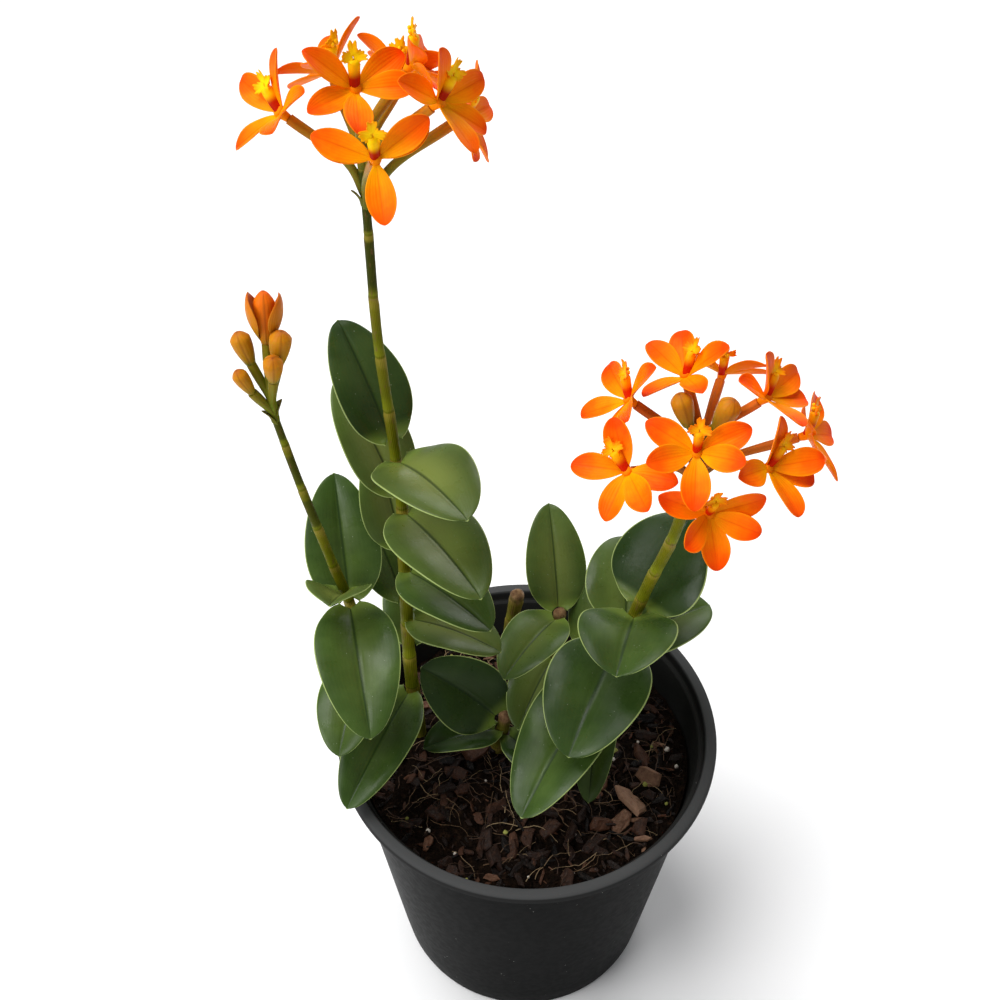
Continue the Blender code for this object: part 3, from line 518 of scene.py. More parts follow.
class Paint:
    """A Principled material and short calls that add nodes to it."""

    def __init__(self, name, shine, depth_glow=0.0):
        self.material = bpy.data.materials.new(name)
        self.material.use_nodes = True
        self.tree = self.material.node_tree
        self.shader = self.tree.nodes["Principled BSDF"]
        self.shader.inputs["Specular IOR Level"].default_value = shine
        if depth_glow:
            self.shader.inputs["Subsurface Weight"].default_value = depth_glow
            self.shader.inputs["Subsurface Scale"].default_value = MM
        form = self.node("ShaderNodeAttribute", attribute_name=FORM)
        split = self.node("ShaderNodeSeparateColor")
        self.link(form.outputs["Color"], split.inputs["Color"])
        self.along, self.across, self.kind = split.outputs
        self.tone = form.outputs["Alpha"]
        self.place = self.node("ShaderNodeTexCoord").outputs["Object"]
        self.colour = None

    def node(self, kind, **settings):
        made = self.tree.nodes.new(kind)
        for key, value in settings.items():
            setattr(made, key, value)
        return made

    def link(self, source, target):
        if hasattr(source, "links"):
            self.tree.links.new(source, target)
        else:
            target.default_value = source

    def fill(self, node, *values):
        for value, socket in zip(values, node.inputs):
            self.link(value, socket)
        return node.outputs[0]

    def math(self, operation, a, b=0.0, c=0.0):
        return self.fill(self.node("ShaderNodeMath", operation=operation), a, b, c)

    def times(self, a, b):
        return self.math("MULTIPLY", a, b)

    def plus(self, a, b):
        return self.math("ADD", a, b)

    def stirred(self, value, cloud, reach):
        """The value, moved up and down by half of reach."""
        return self.plus(value, self.math("MULTIPLY_ADD", cloud, reach, -reach / 2))

    def off_middle(self):
        """0 on the midrib and 1 on both margins."""
        return self.math("ABSOLUTE", self.math("MULTIPLY_ADD", self.across, 2.0, -1.0))

    def band(self, value, low, high, out_low=0.0, out_high=1.0):
        """A smooth step between two values."""
        made = self.node("ShaderNodeMapRange", interpolation_type="SMOOTHSTEP", clamp=True)
        return self.fill(made, value, low, high, out_low, out_high)

    def mix(self, share, a, b):
        made = self.node("ShaderNodeMix", data_type="RGBA")
        self.link(share, made.inputs[0])
        for item, socket in ((a, made.inputs[6]), (b, made.inputs[7])):
            self.link((*item, 1.0) if isinstance(item, tuple) else item, socket)
        return made.outputs[2]

    def over(self, share, colour, strength=None):
        """Lays a colour over the ones painted so far."""
        share = self.times(share, strength) if strength else share
        self.colour = self.mix(share, self.colour, colour)

    def ramp(self, value, *stops):
        made = self.node("ShaderNodeValToRGB")
        band = made.color_ramp
        while len(band.elements) < len(stops):
            band.elements.new(0.5)
        for element, (position, colour) in zip(band.elements, stops):
            element.position = position
            element.color = (*colour, 1.0)
        return self.fill(made, value)

    def noise(self, scale, detail=3.0, roughness=0.5, stretch=None):
        made = self.node("ShaderNodeTexNoise")
        place = self.place
        if stretch:
            mapped = self.node("ShaderNodeMapping")
            mapped.inputs["Scale"].default_value = stretch
            self.link(place, mapped.inputs["Vector"])
            place = mapped.outputs[0]
        self.link(place, made.inputs["Vector"])
        made.inputs["Scale"].default_value = scale
        made.inputs["Detail"].default_value = detail
        made.inputs["Roughness"].default_value = roughness
        return made.outputs[0]

    def cells(self, scale):
        made = self.node("ShaderNodeTexVoronoi")
        self.link(self.place, made.inputs["Vector"])
        made.inputs["Scale"].default_value = scale
        return made.outputs["Distance"]

    def waves(self, value, count):
        """Lines that repeat count times over the value's range."""
        phase = self.times(value, count * 2 * pi)
        return self.math("MULTIPLY_ADD", self.math("SINE", phase), 0.5, 0.5)

    def veins(self, scale, detail, sway, count):
        """Long lines that wander a little from side to side."""
        return self.waves(self.plus(self.across, self.times(self.noise(scale, detail), sway)), count)

    def rough(self, cloud, low, high, spread=0.2):
        self.link(self.band(cloud, 0.5 - spread, 0.5 + spread, low, high), self.shader.inputs["Roughness"])

    def finish(self, relief, depth, strength):
        """Joins the colour and a relief of the given depth in metres to the shader."""
        self.link(self.colour, self.shader.inputs["Base Color"])
        bump = self.node("ShaderNodeBump")
        bump.inputs["Strength"].default_value = strength
        bump.inputs["Distance"].default_value = depth
        self.link(relief, bump.inputs["Height"])
        self.link(bump.outputs[0], self.shader.inputs["Normal"])
        return self.material


def leaf_paint():
    """Thick dark green leaf: faint long veins, painted light over the middle of each blade, painted shade on
    dim leaves and in the crease, a pale margin and tiny white specks.
    """
    p = Paint("leaf_green", 0.18)
    off_middle = p.off_middle()
    p.colour = p.ramp(p.noise(70, 4, 0.55), (0.3, (0.017, 0.042, 0.006)), (0.5, (0.03, 0.064, 0.01)),
        (0.7, (0.052, 0.096, 0.018)))
    veins = p.veins(45, 2, 0.05, 19)
    p.over(veins, (0.075, 0.13, 0.032), 0.06)
    # Painted light: a lighter green over the middle and lower part of each blade, fading to the margins and
    # tip, stronger on leaves of higher tone.
    painted_light = p.times(p.band(off_middle, 0.85, 0.15), p.band(p.along, 1.0, 0.45))
    painted_light = p.math("MULTIPLY_ADD", painted_light, 0.7, 0.3)
    p.over(p.times(painted_light, p.band(p.tone, 0.15, 1.0, 0.1, 1.0)), (0.18, 0.22, 0.048))
    # Painted shade: leaves of low tone are darkened.
    p.over(p.band(p.tone, 0.0, 0.3, 0.7, 0.0), (0.009, 0.024, 0.005))
    p.over(p.band(p.along, 0.13, 0.0, 0.0, 0.6), (0.16, 0.23, 0.035))
    # Painted shade: a darker green along the crease of the midrib.
    p.over(p.band(off_middle, 0.06, 0.01, 0.0, 0.7), (0.01, 0.026, 0.005))
    under = p.mix(p.times(veins, 0.2), (0.06, 0.115, 0.024), (0.085, 0.15, 0.036))
    p.over(p.band(p.kind, 0.45, 0.55), under)
    rim = p.math("MAXIMUM", p.band(off_middle, 0.966, 0.99), p.band(p.along, 0.994, 0.999))
    p.over(rim, (0.4, 0.5, 0.16), 0.75)
    specks = p.times(p.band(p.cells(600), 0.09, 0.04), p.band(p.noise(210, 0), 0.54, 0.6, 0.0, 0.5))
    p.over(specks, (0.55, 0.6, 0.45))
    p.rough(p.noise(160, 3), 0.24, 0.4, 0.25)
    return p.finish(p.plus(p.times(veins, 0.12), p.noise(700, 3)), 0.00008, 0.5)


def tepal_paint():
    """Waxy orange: yellow at the heart, a painted highlight in yellow along the margin, deep red-orange
    towards the tip.
    """
    p = Paint("tepal_orange", 0.04)
    off_middle = p.off_middle()
    reach = p.stirred(p.along, p.noise(260, 2), 0.5)
    reach = p.plus(reach, p.math("MULTIPLY_ADD", p.tone, -0.5, 0.25))
    p.colour = p.ramp(reach, (0.0, (0.98, 0.4, 0.001)), (0.35, (0.98, 0.25, 0.001)),
        (0.7, (0.95, 0.135, 0.001)), (1.0, (0.87, 0.06, 0.001)))
    veins = p.veins(120, 1, 0.06, 9)
    p.over(veins, (0.85, 0.08, 0.001), 0.1)
    # Painted highlight: yellow along the lit margins.
    p.over(p.band(off_middle, 0.86, 1.0, 0.0, 0.35), (0.98, 0.38, 0.002))
    p.over(p.band(off_middle, 0.09, 0.0, 0.0, 0.4), (0.74, 0.05, 0.001))
    p.over(p.kind, (0.95, 0.25, 0.002), 0.4)
    p.rough(p.noise(500, 2), 0.38, 0.52)
    return p.finish(p.plus(p.times(veins, 0.7), p.noise(1600, 2)), 0.00006, 0.6)


def lip_paint():
    """The lip: yellow fringe and callus, and a dark red streak down the mouth of the claw."""
    p = Paint("lip_yellow", 0.05)
    reach = p.stirred(p.along, p.noise(500, 2), 0.5)
    yellow = p.ramp(reach, (0.0, (0.98, 0.34, 0.001)), (0.3, (0.98, 0.62, 0.002)),
        (0.7, (0.98, 0.54, 0.002)), (1.0, (0.96, 0.36, 0.001)))
    orange = p.ramp(reach, (0.0, (0.95, 0.2, 0.001)), (0.4, (0.98, 0.36, 0.001)),
        (0.8, (0.96, 0.19, 0.001)), (1.0, (0.92, 0.12, 0.001)))
    yellowness = p.band(p.across, 0.35, 0.65)
    p.colour = p.mix(yellowness, orange, yellow)
    p.over(p.band(p.kind, 0.15, 0.75), p.mix(yellowness, (0.7, 0.022, 0.001), (0.4, 0.014, 0.001)))
    p.over(p.band(p.tone, 0.6, 1.0, 0.0, 0.85), (0.98, 0.52, 0.006))
    p.rough(p.noise(700, 2), 0.35, 0.5)
    return p.finish(p.noise(2200, 2), 0.00005, 0.5)


def bud_paint():
    """Unopened buds: olive foot, ochre sides with a red-brown seam, orange tip."""
    p = Paint("bud_ochre", 0.1, 0.15)
    reach = p.stirred(p.along, p.noise(300, 2), 0.4)
    ochre = p.ramp(reach, (0.0, (0.12, 0.15, 0.006)), (0.3, (0.36, 0.2, 0.006)),
        (0.75, (0.5, 0.2, 0.005)), (1.0, (0.4, 0.125, 0.008)))
    orange = p.ramp(reach, (0.0, (0.4, 0.19, 0.008)), (0.4, (0.86, 0.17, 0.003)), (1.0, (0.85, 0.115, 0.002)))
    ribs = p.waves(p.across, 16)
    p.colour = p.mix(p.tone, ochre, orange)
    p.over(p.kind, (0.15, 0.04, 0.006), 0.8)
    p.over(ribs, (0.45, 0.16, 0.02), 0.12)
    p.rough(p.noise(600, 2), 0.38, 0.52)
    return p.finish(p.plus(ribs, p.noise(1500, 2)), 0.00006, 0.5)


def cane_paint():
    """Sheathed stem: yellow-green with paler foot, papery mouth, dark joint line and brown specks."""
    p = Paint("cane_green", 0.04)
    green = p.ramp(p.stirred(p.along, p.noise(240, 2), 0.3), (0.0, (0.18, 0.2, 0.006)),
        (0.35, (0.11, 0.118, 0.003)), (0.8, (0.14, 0.132, 0.004)), (1.0, (0.26, 0.21, 0.028)))
    dark = p.mix(p.noise(200, 2), (0.014, 0.022, 0.003), (0.038, 0.046, 0.004))
    p.colour = p.mix(p.kind, green, dark)
    streaks = p.waves(p.across, 20)
    p.over(streaks, (0.3, 0.32, 0.02), 0.07)
    specks = p.band(p.noise(700, 3, 0.7, (1, 1, 0.35)), 0.58, 0.68)
    p.over(specks, (0.16, 0.075, 0.035), 0.5)
    joint = p.plus(p.band(p.along, 0.05, 0.0), p.band(p.along, 0.955, 0.99))
    p.over(joint, (0.2, 0.13, 0.05), 0.55)
    dry = p.ramp(p.noise(420, 4, 0.6), (0.3, (0.075, 0.035, 0.018)), (0.6, (0.26, 0.15, 0.075)),
        (0.8, (0.42, 0.29, 0.16)))
    p.over(p.tone, dry)
    p.rough(p.noise(500, 2), 0.4, 0.6)
    return p.finish(p.plus(streaks, p.noise(900, 3)), 0.00012, 0.6)


def stalk_paint():
    """Flower stalks: olive where they leave the stem, flushing red-brown and orange to the flower."""
    p = Paint("stalk_flush", 0.06, 0.1)
    reach = p.stirred(p.along, p.noise(300, 2), 0.4)
    green = p.ramp(reach, (0.0, (0.085, 0.115, 0.01)), (0.5, (0.22, 0.18, 0.012)), (1.0, (0.52, 0.19, 0.008)))
    brown = p.ramp(reach, (0.0, (0.13, 0.12, 0.01)), (0.35, (0.34, 0.12, 0.012)), (1.0, (0.6, 0.14, 0.01)))
    ribs = p.waves(p.across, 6)
    p.colour = p.mix(p.tone, green, brown)
    p.over(p.kind, (0.12, 0.16, 0.006))
    p.over(ribs, (0.2, 0.06, 0.02), 0.22)
    p.rough(p.noise(600, 2), 0.38, 0.5)
    return p.finish(p.plus(ribs, p.noise(1200, 2)), 0.00008, 0.5)


def pot_paint():
    """Black plastic with painted sheen, greyer inside and on the lip, a painted highlight over the lip's top,
    with fine scuffs and dust.
    """
    p = Paint("pot_black", 0.01)
    p.colour = p.ramp(p.noise(26, 4, 0.6), (0.3, (0.0012, 0.0014, 0.0014)), (0.7, (0.0024, 0.0027, 0.0027)))
    # Painted sheen: the inside and the inner edge of the lip are greyer than the black outside.
    p.over(p.kind, (0.02, 0.02, 0.019))
    # Painted sheen on the outer side of the lip, and a brighter painted highlight over its rounded top and
    # flat face.
    p.over(p.band(p.along, 0.968, 0.985), (0.018, 0.018, 0.018))
    p.over(p.band(p.along, 0.99, 0.998), (0.056, 0.057, 0.057))
    scuffs = p.band(p.noise(300, 5, 0.7, (1, 1, 0.25)), 0.6, 0.78)
    p.over(scuffs, (0.04, 0.042, 0.043), 0.08)
    dust = p.times(p.band(p.cells(330), 0.085, 0.04), p.band(p.noise(150, 0), 0.63, 0.68))
    p.over(dust, (0.3, 0.3, 0.28))
    p.rough(p.noise(400, 3), 0.36, 0.42)
    return p.finish(p.plus(p.noise(1500, 2), p.times(scuffs, 0.4)), 0.00004, 0.35)


def fines_paint():
    """Damp fines between the chips."""
    p = Paint("soil_dark", 0.04)
    p.colour = p.ramp(p.noise(420, 6, 0.7), (0.32, (0.003, 0.002, 0.0015)), (0.55, (0.009, 0.005, 0.003)),
        (0.74, (0.036, 0.018, 0.01)))
    p.rough(p.noise(200, 3), 0.6, 0.95)
    return p.finish(p.plus(p.noise(700, 6, 0.7), p.cells(900)), 0.0009, 0.9)


def bark_paint():
    """Bark chips, from near black and wet to dry pale brown, each with its own tone."""
    p = Paint("bark_chip", 0.2)
    grain = p.noise(520, 5, 0.65)
    p.colour = p.ramp(p.stirred(p.tone, grain, 0.6), (0.0, (0.003, 0.002, 0.0015)),
        (0.3, (0.016, 0.007, 0.004)), (0.65, (0.085, 0.034, 0.017)), (1.0, (0.3, 0.17, 0.105)))
    p.over(p.band(p.noise(1500, 4, 0.7), 0.6, 0.72, 0.0, 0.4), (0.2, 0.12, 0.08))
    p.rough(grain, 0.25, 0.6)
    return p.finish(p.plus(grain, p.noise(1800, 4, 0.6)), 0.0005, 0.9)


def fibre_paint():
    """Fine roots and coir, straw to reddish brown."""
    p = Paint("root_fibre", 0.35)
    p.colour = p.ramp(p.tone, (0.0, (0.045, 0.022, 0.014)), (0.5, (0.17, 0.1, 0.05)),
        (1.0, (0.46, 0.33, 0.18)))
    p.over(p.noise(900, 2), (0.06, 0.035, 0.02), 0.4)
    p.rough(p.noise(400, 2), 0.5, 0.8)
    return p.finish(p.noise(2500, 2), 0.00008, 0.6)


def grain_paint():
    """Perlite crumbs, white to cream, and a few yellow-green crumbs of fertiliser and moss."""
    p = Paint("white_grain", 0.35)
    p.colour = p.mix(p.noise(1400, 4), (0.5, 0.42, 0.34), (0.85, 0.8, 0.72))
    p.over(p.tone, p.mix(p.noise(900, 3), (0.16, 0.19, 0.03), (0.42, 0.4, 0.1)))
    p.rough(p.noise(800, 2), 0.6, 0.9)
    return p.finish(p.noise(2600, 4), 0.0003, 0.8)


def make_pot(paint):
    """The nursery pot: tapered wall, flat rolled lip, a stepped collar inside it and a pierced floor."""
    points, marks = [], []
    for group, (radius, height, steps) in enumerate(POT_OUTLINE):
        for out, rise in steps:
            z = height + rise
            for k in range(POT_SEGMENTS):
                turn = 2 * pi * k / POT_SEGMENTS
                points.append(((radius + out) * cos(turn), (radius + out) * sin(turn), z))
                # The third number marks the inside, which the pot's paint greys as painted sheen.
                marks.append((z / POT_HEIGHT, 0.5, float(group >= INNER_GROUP), 0))
    rings = len(points) // POT_SEGMENTS
    points += [(0, 0, 0), (0, 0, BASE_THICKNESS)]
    marks += [(0, 0.5, 0, 0), (BASE_THICKNESS / POT_HEIGHT, 0.5, 1.0, 0)]
    shape = Shape()
    shape.add(points, capped_rings(rings, POT_SEGMENTS), marks)
    pot = shape.finish("pot_shell", [paint])
    drill = Shape()
    for k in range(DRAIN_HOLES):
        spot = direction(360 * (k + 0.5) / DRAIN_HOLES, 0) * DRAIN_RING_RADIUS
        ends = [spot + UP * z for z in (-DRILL_REACH, BASE_THICKNESS + DRILL_REACH)]
        tube(drill, ends, lambda s, turn: DRAIN_RADIUS, 32, lambda s, turn: PLAIN_MARK)
    pierce(pot, drill.finish("drill", [paint]))
    stand_for(pot, "pot")


def pierce(body, cutter):
    """Cuts one mesh out of the other for good."""
    cut = body.modifiers.new("drain_holes", "BOOLEAN")
    cut.operation = "DIFFERENCE"
    cut.object = cutter
    bpy.context.view_layer.update()
    graph = bpy.context.evaluated_depsgraph_get()
    pierced = bpy.data.meshes.new_from_object(body.evaluated_get(graph))
    body.modifiers.clear()
    body.data = pierced
    bpy.data.objects.remove(cutter)
    pierced.shade_smooth()
    pierced.set_sharp_from_angle(angle=radians(POT_SHARP_ANGLE))


def mix_height(x, y):
    """The mix's surface: a low mound, sunk a little at the back, with lumps."""
    lumps = noise.noise(Vector((x, y, 3.7)) * 0.055) + 0.5 * noise.noise(Vector((x, y, 9.1)) * 0.14)
    return MIX_LEVEL + 1.2 - 0.045 * max(y, -20) + MIX_RELIEF * lumps


def crumb_height(x, y):
    """Fine crumbs over the lumps."""
    here = Vector((x, y, 0.0))
    crumbs = noise.turbulence(here * 0.16 + Vector((5, 1, 2)), 4, False)
    pits = noise.noise(here * 0.55 + Vector((1, 8, 3)))
    return mix_height(x, y) - 2.1 + 1.9 * crumbs + 0.55 * pits


def make_mix(paints):
    """Fines that fill the pot, with bark, roots, perlite and moss lying in and on them."""
    inner = INNER_FOOT - GAP
    floor_z = BASE_THICKNESS + GAP + 0.3
    edge = inner + WALL_SLOPE * (MIX_LEVEL - 2) - 0.4
    radii = [inner + WALL_SLOPE * floor_z - 0.8]
    radii += [edge * sqrt(k / MIX_RINGS) for k in range(MIX_RINGS, 0, -1)]
    points = []
    for number, radius in enumerate(radii):
        for k in range(MIX_SEGMENTS):
            spot = direction(360 * (k + 0.5 * (number % 2)) / MIX_SEGMENTS, 0) * radius
            spot.z = crumb_height(spot.x, spot.y) if number else floor_z
            points.append(spot)
    points += [Vector((0, 0, floor_z)), Vector((0, 0, crumb_height(0, 0)))]
    shape = Shape()
    shape.add(points, capped_rings(len(radii), MIX_SEGMENTS), [PLAIN_MARK] * len(points), FINES)
    scatter_bark(shape, edge)
    scatter_roots(shape, edge)
    scatter_grains(shape, edge)
    stand_for(shape.finish("potting_mix_top", paints, smooth=False), "potting_mix")


def in_pot(dice, reach):
    angle = dice.uniform(0, tau)
    radius = reach * sqrt(dice.random())
    return radius * cos(angle), radius * sin(angle)


def chip_outline(dice, corners, length, width):
    """An uneven outline, nearer to a rectangle than to an ellipse."""
    outline = []
    for k in range(corners):
        turn = 2 * pi * (k + dice.uniform(-0.36, 0.36)) / corners
        reach = 0.5 * dice.uniform(0.62, 1.1)
        squared = max(abs(cos(turn)), abs(sin(turn))) ** 0.8
        outline.append((cos(turn) / squared * reach * length, sin(turn) / squared * reach * width))
    return outline


def chip(shape, dice, x, y, length, width, thickness, lift, tone):
    """One chip of bark: an uneven outline, cut edges and a cupped, rough face."""
    corners = dice.randint(5, 9)
    outline = chip_outline(dice, corners, length, width)
    tilt = dice.uniform(-0.8, 0.8)
    spin = Matrix.Rotation(dice.uniform(0, tau), 3, "Z") @ Matrix.Rotation(tilt, 3, "X")
    spin = spin @ Matrix.Rotation(dice.uniform(-0.3, 0.3), 3, "Y")
    cup = dice.uniform(-0.05, 0.09)
    points = []
    for level, shrink in CHIP_LEVELS:
        for a, b in outline:
            bow = cup * (a * a + b * b) / max(length, 1)
            rough = dice.uniform(-0.12, 0.12) * thickness
            points.append(Vector((a * shrink, b * shrink, level * thickness + bow + rough)))
    points += [Vector((0, 0, -0.5 * thickness)), Vector((0, 0, 0.58 * thickness))]
    middle = Vector((x, y, crumb_height(x, y) + lift))
    points = [middle + spin @ point for point in points]
    shape.add(points, capped_rings(len(CHIP_LEVELS), corners), [(0, 0, 0, tone)] * len(points), BARK)


def scatter_bark(shape, edge):
    dice = random.Random(BARK_SEED)
    for _ in range(SMALL_CHIPS):
        x, y = in_pot(dice, edge - 1.5)
        length = 1.6 + 6.0 * dice.random() ** 2.0
        tone = clamp(dice.gauss(0.16, 0.14) + (0.45 if dice.random() < 0.16 else 0.0))
        chip(shape, dice, x, y, length, length * dice.uniform(0.16, 0.55), length * dice.uniform(0.08, 0.2),
             dice.uniform(-0.1, 0.9), tone)
    for _ in range(LARGE_CHIPS):
        x, y = in_pot(dice, edge - 4)
        length = dice.uniform(6.5, 12.0)
        tone = clamp(dice.gauss(0.3, 0.16))
        chip(shape, dice, x, y, length, length * dice.uniform(0.35, 0.65), length * dice.uniform(0.1, 0.18),
             dice.uniform(0.2, 1.0), tone)
    for x, y, length, width, tone in BIG_CHIPS:
        chip(shape, dice, x, y, length, width, BIG_CHIP_THICKNESS, BIG_CHIP_LIFT, tone)


def scatter_roots(shape, edge):
    """Thin roots that wander over the mix and turn back at the pot's wall."""
    dice = random.Random(ROOT_SEED)
    for _ in range(ROOTS):
        x, y = in_pot(dice, edge - 5)
        heading = dice.uniform(0, tau)
        length = dice.uniform(5, 22)
        steps = max(5, int(length / 1.6))
        path = []
        for k in range(steps + 1):
            lift = 0.5 + 1.5 * sin(pi * k / steps) * dice.uniform(0.3, 1.0)
            path.append(Vector((x, y, crumb_height(x, y) + lift)))
            heading += dice.uniform(-0.42, 0.42)
            x += cos(heading) * length / steps
            y += sin(heading) * length / steps
            if hypot(x, y) > edge - 1.5:
                heading += pi * 0.6
                x *= 0.96
                y *= 0.96
        thick = dice.uniform(0.07, 0.18)
        tone = dice.random() ** 1.5
        tube(shape, path, lambda s, turn: thick * (1.1 - 0.7 * s), 5, lambda s, turn: (s, 0, 0, tone), FIBRE)


def scatter_grains(shape, edge):
    dice = random.Random(GRAIN_SEED)
    spots = list(GRAINS)
    for _ in range(SMALL_GRAINS):
        x, y = in_pot(dice, edge - 3)
        spots.append((x, y, dice.uniform(0.45, 1.0), 1.0 if dice.random() < 0.45 else 0.0))
    for x, y, size, tone in spots:
        middle = Vector((x, y, crumb_height(x, y) + size * 0.8))
        add_ball(shape, middle, size, 0.35, 1.3 / size, (0, 0, 0, tone), CRUMB)


def cane_mark(name, height, turn):
    """Joint share, turn, darkness and dryness at a height on a cane."""
    share = internode_share(name, height)
    dark = 0.0
    if name == TALL:
        dark = clamp((height - TALL_DARK_FROM) / 4) * (0.95 if 0.06 < share < 0.9 else 0.1)
    if name == BUDDING:
        dark = 0.75 * clamp((height - BUDDING_DARK_FROM) / 6) * (1.0 if 0.1 < share < 0.75 else 0.1)
    dry = clamp((DRY_BELOW - height) / 10) * 0.4
    if name not in HEADS:
        dry = max(dry, clamp((height - cane_span(name)[1] + 7) / 5), 0.25)
    return (share, turn / tau, dark, dry)


def make_cane(name, paints):
    """A cane wrapped in leaf sheaths, with its flower stalks and scales, or a ragged stub of one."""
    shape = Shape()
    points, _, internode = CANES[name]
    path = smooth_path(points, CANE_STEP)
    tip = path[-1].z

    def height_at(s):
        return path[round(s * (len(path) - 1))].z

    def radius(s, turn):
        height = height_at(s)
        share = internode_share(name, height)
        slant = clamp(share + 0.05 * cos(turn + 2 * (height // internode)))
        flare = 0.75 * SHEATH_FLARE * slant ** 2 if slant < 0.96 else 0.0
        knot = 0.06 * peak(share - 0.03, 0.03)
        ribs = 0.015 * cos(5 * turn)
        plain = plain_radius(name, height) * (1 + flare + knot + ribs)
        if name in HEADS:
            return plain
        rag = 1 + 0.12 * sin(3 * turn + 1) * clamp((height - tip + 3) / 3)
        return plain * sqrt(clamp((tip - height) / 2.2, 0.06)) * rag

    tube(shape, path, radius, CANE_SIDES, lambda s, turn: cane_mark(name, height_at(s), turn), STEM)
    flush = STALK_FLUSH.get(name, 0.0)
    for row in BLOOMS.values():
        if row[0] == name:
            add_stalk(shape, row[:5], 0.0, flush)
    for row in (*RIGHT_BUDS, *LEFT_BUDS, OPENING_BUD):
        if row[0] == name:
            add_stalk(shape, row[:5], BUD_STALK_GREEN, flush * 0.5)
    if name in HEADS:
        add_scales(shape, name)
    stand_for(shape.finish(name + "_stem", paints, sharp_angle=CANE_SHARP_ANGLE), name)


def add_stalk(shape, stalk, green, flush):
    path, _, _ = stalk_line(*stalk)

    def radius(s, turn):
        swell = blend(*PEDICEL_RADIUS, s)
        return swell * (1 + 0.05 * cos(6 * turn) + 0.06 * sin(3.0 * s * pi))

    tube(shape, path, radius, PEDICEL_SIDES, lambda s, turn: (s, turn / tau, green, flush), STALK)


def add_scales(shape, name):
    """Small pointed scales under the head, each clasping the stem."""
    for above, azimuth, length in SCALES:
        height = HEADS[name][2] - SCALE_DROP + above
        foot = cane_axis(name, height)
        reach = plain_radius(name, height)
        out = direction(azimuth, 0)
        side = out.cross(UP)

        def surface(s, t):
            half = 1.9 * sin(pi * clamp(0.35 + 0.65 * s, 0.0, 0.999)) ** 0.8
            wrap = out * (reach * 1.02 - 0.9 * t * t * (1 - s))
            return foot + wrap + out * (length * 0.5 * s * s) + UP * (length * s) + side * (half * t)

        blade(shape, surface, (10, 6), 0.5, lambda s, t, under: (0.2 + 0.6 * s, 0.5 + 0.5 * t, 0.2, 0.25 * s))


def leaf_width_share(s):
    """Share of the full width: a clasping foot, the widest place past a third, a blunt tip."""
    s = clamp(s)
    body = 0.97 * sin(pi * s ** 0.72) ** 0.5 if 0 < s < 1 else 0.0
    ends = LEAF_BASE_SHARE * (1 - s) ** 3 + LEAF_TIP_SHARE * s ** 6
    return max(body, ends)


def leaf_surface(foot, azimuth, rise, droop, length, width, fold, roll, phase):
    out = direction(azimuth, 0)
    level = Vector((-out.y, out.x, 0))

    def surface(s, t):
        reach, lift = arc_point(s, length, rise, droop)
        turn = radians(rise - droop * s)
        along = out * cos(turn) + UP * sin(turn)
        normal = turned(UP * cos(turn) - out * sin(turn), roll, along)
        side = turned(level, roll, along)
        half = width / 2 * leaf_width_share(s)
        valley = half * tan(radians(fold)) * (abs(t) ** 1.4 - 0.25 * t ** 4)
        groove = -GROOVE_DEPTH * peak(t, GROOVE_SHARE) * clamp(6 * (1 - s))
        belly = BELLY * sin(pi * abs(t)) * sin(pi * s)
        wave = LEAF_WAVE * sin(7.5 * s + phase + (0.9 if t > 0 else 0)) * t ** 4 * sin(pi * s)
        clasp = CLASP_DEPTH * t * t * clamp(1 - s / CLASP_SHARE) ** 2
        tip = 0.5 * (1 - t * t) * s ** 30
        place = foot + out * (reach - clasp) + UP * lift + along * tip
        return place + side * (half * t) + normal * (valley + groove + belly + wave)

    return surface


def make_leaf(name, cane, row, paint):
    height, azimuth, *bends, given_tone = row
    radius = plain_radius(cane, height) * (1 + SHEATH_FLARE * internode_share(cane, height))
    foot = cane_axis(cane, height) + direction(azimuth, 0) * (radius * (1 + SHEATH_FLARE) + 0.5 + GAP)
    dice = random.Random(name)
    surface = leaf_surface(foot, azimuth, *bends, dice.uniform(0, 6))
    # The tone is partly the leaf's own green and partly how much painted light and painted shade the leaf
    # gets.
    usual_tone = LEAF_TONE + dice.uniform(-0.12, 0.12)
    tone = usual_tone if given_tone is None else given_tone
    shape = Shape()
    blade(shape, surface, LEAF_GRID, LEAF_THICKNESS, lambda s, t, under: (s, 0.5 + 0.5 * t, under, tone))
    stand_for(shape.finish(name + "_blade", [paint]), name)


def tepal_share(s):
    """Share of the full width: a narrow foot, the widest place past the middle, a round tip."""
    s = clamp(s)
    return max(sin(pi * clamp(s ** 1.2, 0.0, 0.9999)) ** 0.56, 0.24 * (1 - s), 0.02)


def tepal_surface(centre, face, lip, around, opening, recurve, length, width, dice):
    heading = turned(lip, around, face)
    across = face.cross(heading)
    twist = dice.uniform(-0.1, 0.1)
    curl = dice.uniform(0.5, 1.4)
    ripple = dice.uniform(0, 6)

    def surface(s, t):
        reach, lift = arc_point(s, length, 90 - opening, recurve)
        half = width / 2 * tepal_share(s)
        swell = sin(pi * clamp(s))
        cup = half * TEPAL_CUPPING * t * t - 0.3 * peak(t, 0.12) * swell
        ruffle = 0.28 * sin(6.0 * s + ripple) * t ** 3 * swell
        hook = -1.96 * curl * max(0.0, s - 0.75) ** 2
        place = centre + heading * (TEPAL_START + reach) + face * (lift + cup + ruffle + hook)
        return place + across * (half * t * cos(twist * s)) + face * (half * t * sin(twist * s * 3))

    return surface


def lip_outline(angle, phase):
    """Radius of the lip's blade: a notched middle lobe between two side lobes, all fringed."""
    a = abs(degrees(angle))
    middle = 3.0 * exp(-((a / 32) ** 4)) - 0.5 * peak(a, 8)
    sides = 2.4 * exp(-(((a - 88) / 42) ** 4))
    fringe = 0.75 * abs(sin(angle * 9.5 + phase)) ** 0.8
    fringe *= 0.7 + 0.3 * sin(angle * 7 + phase * 2)
    return max(middle, sides, 1.4) + fringe


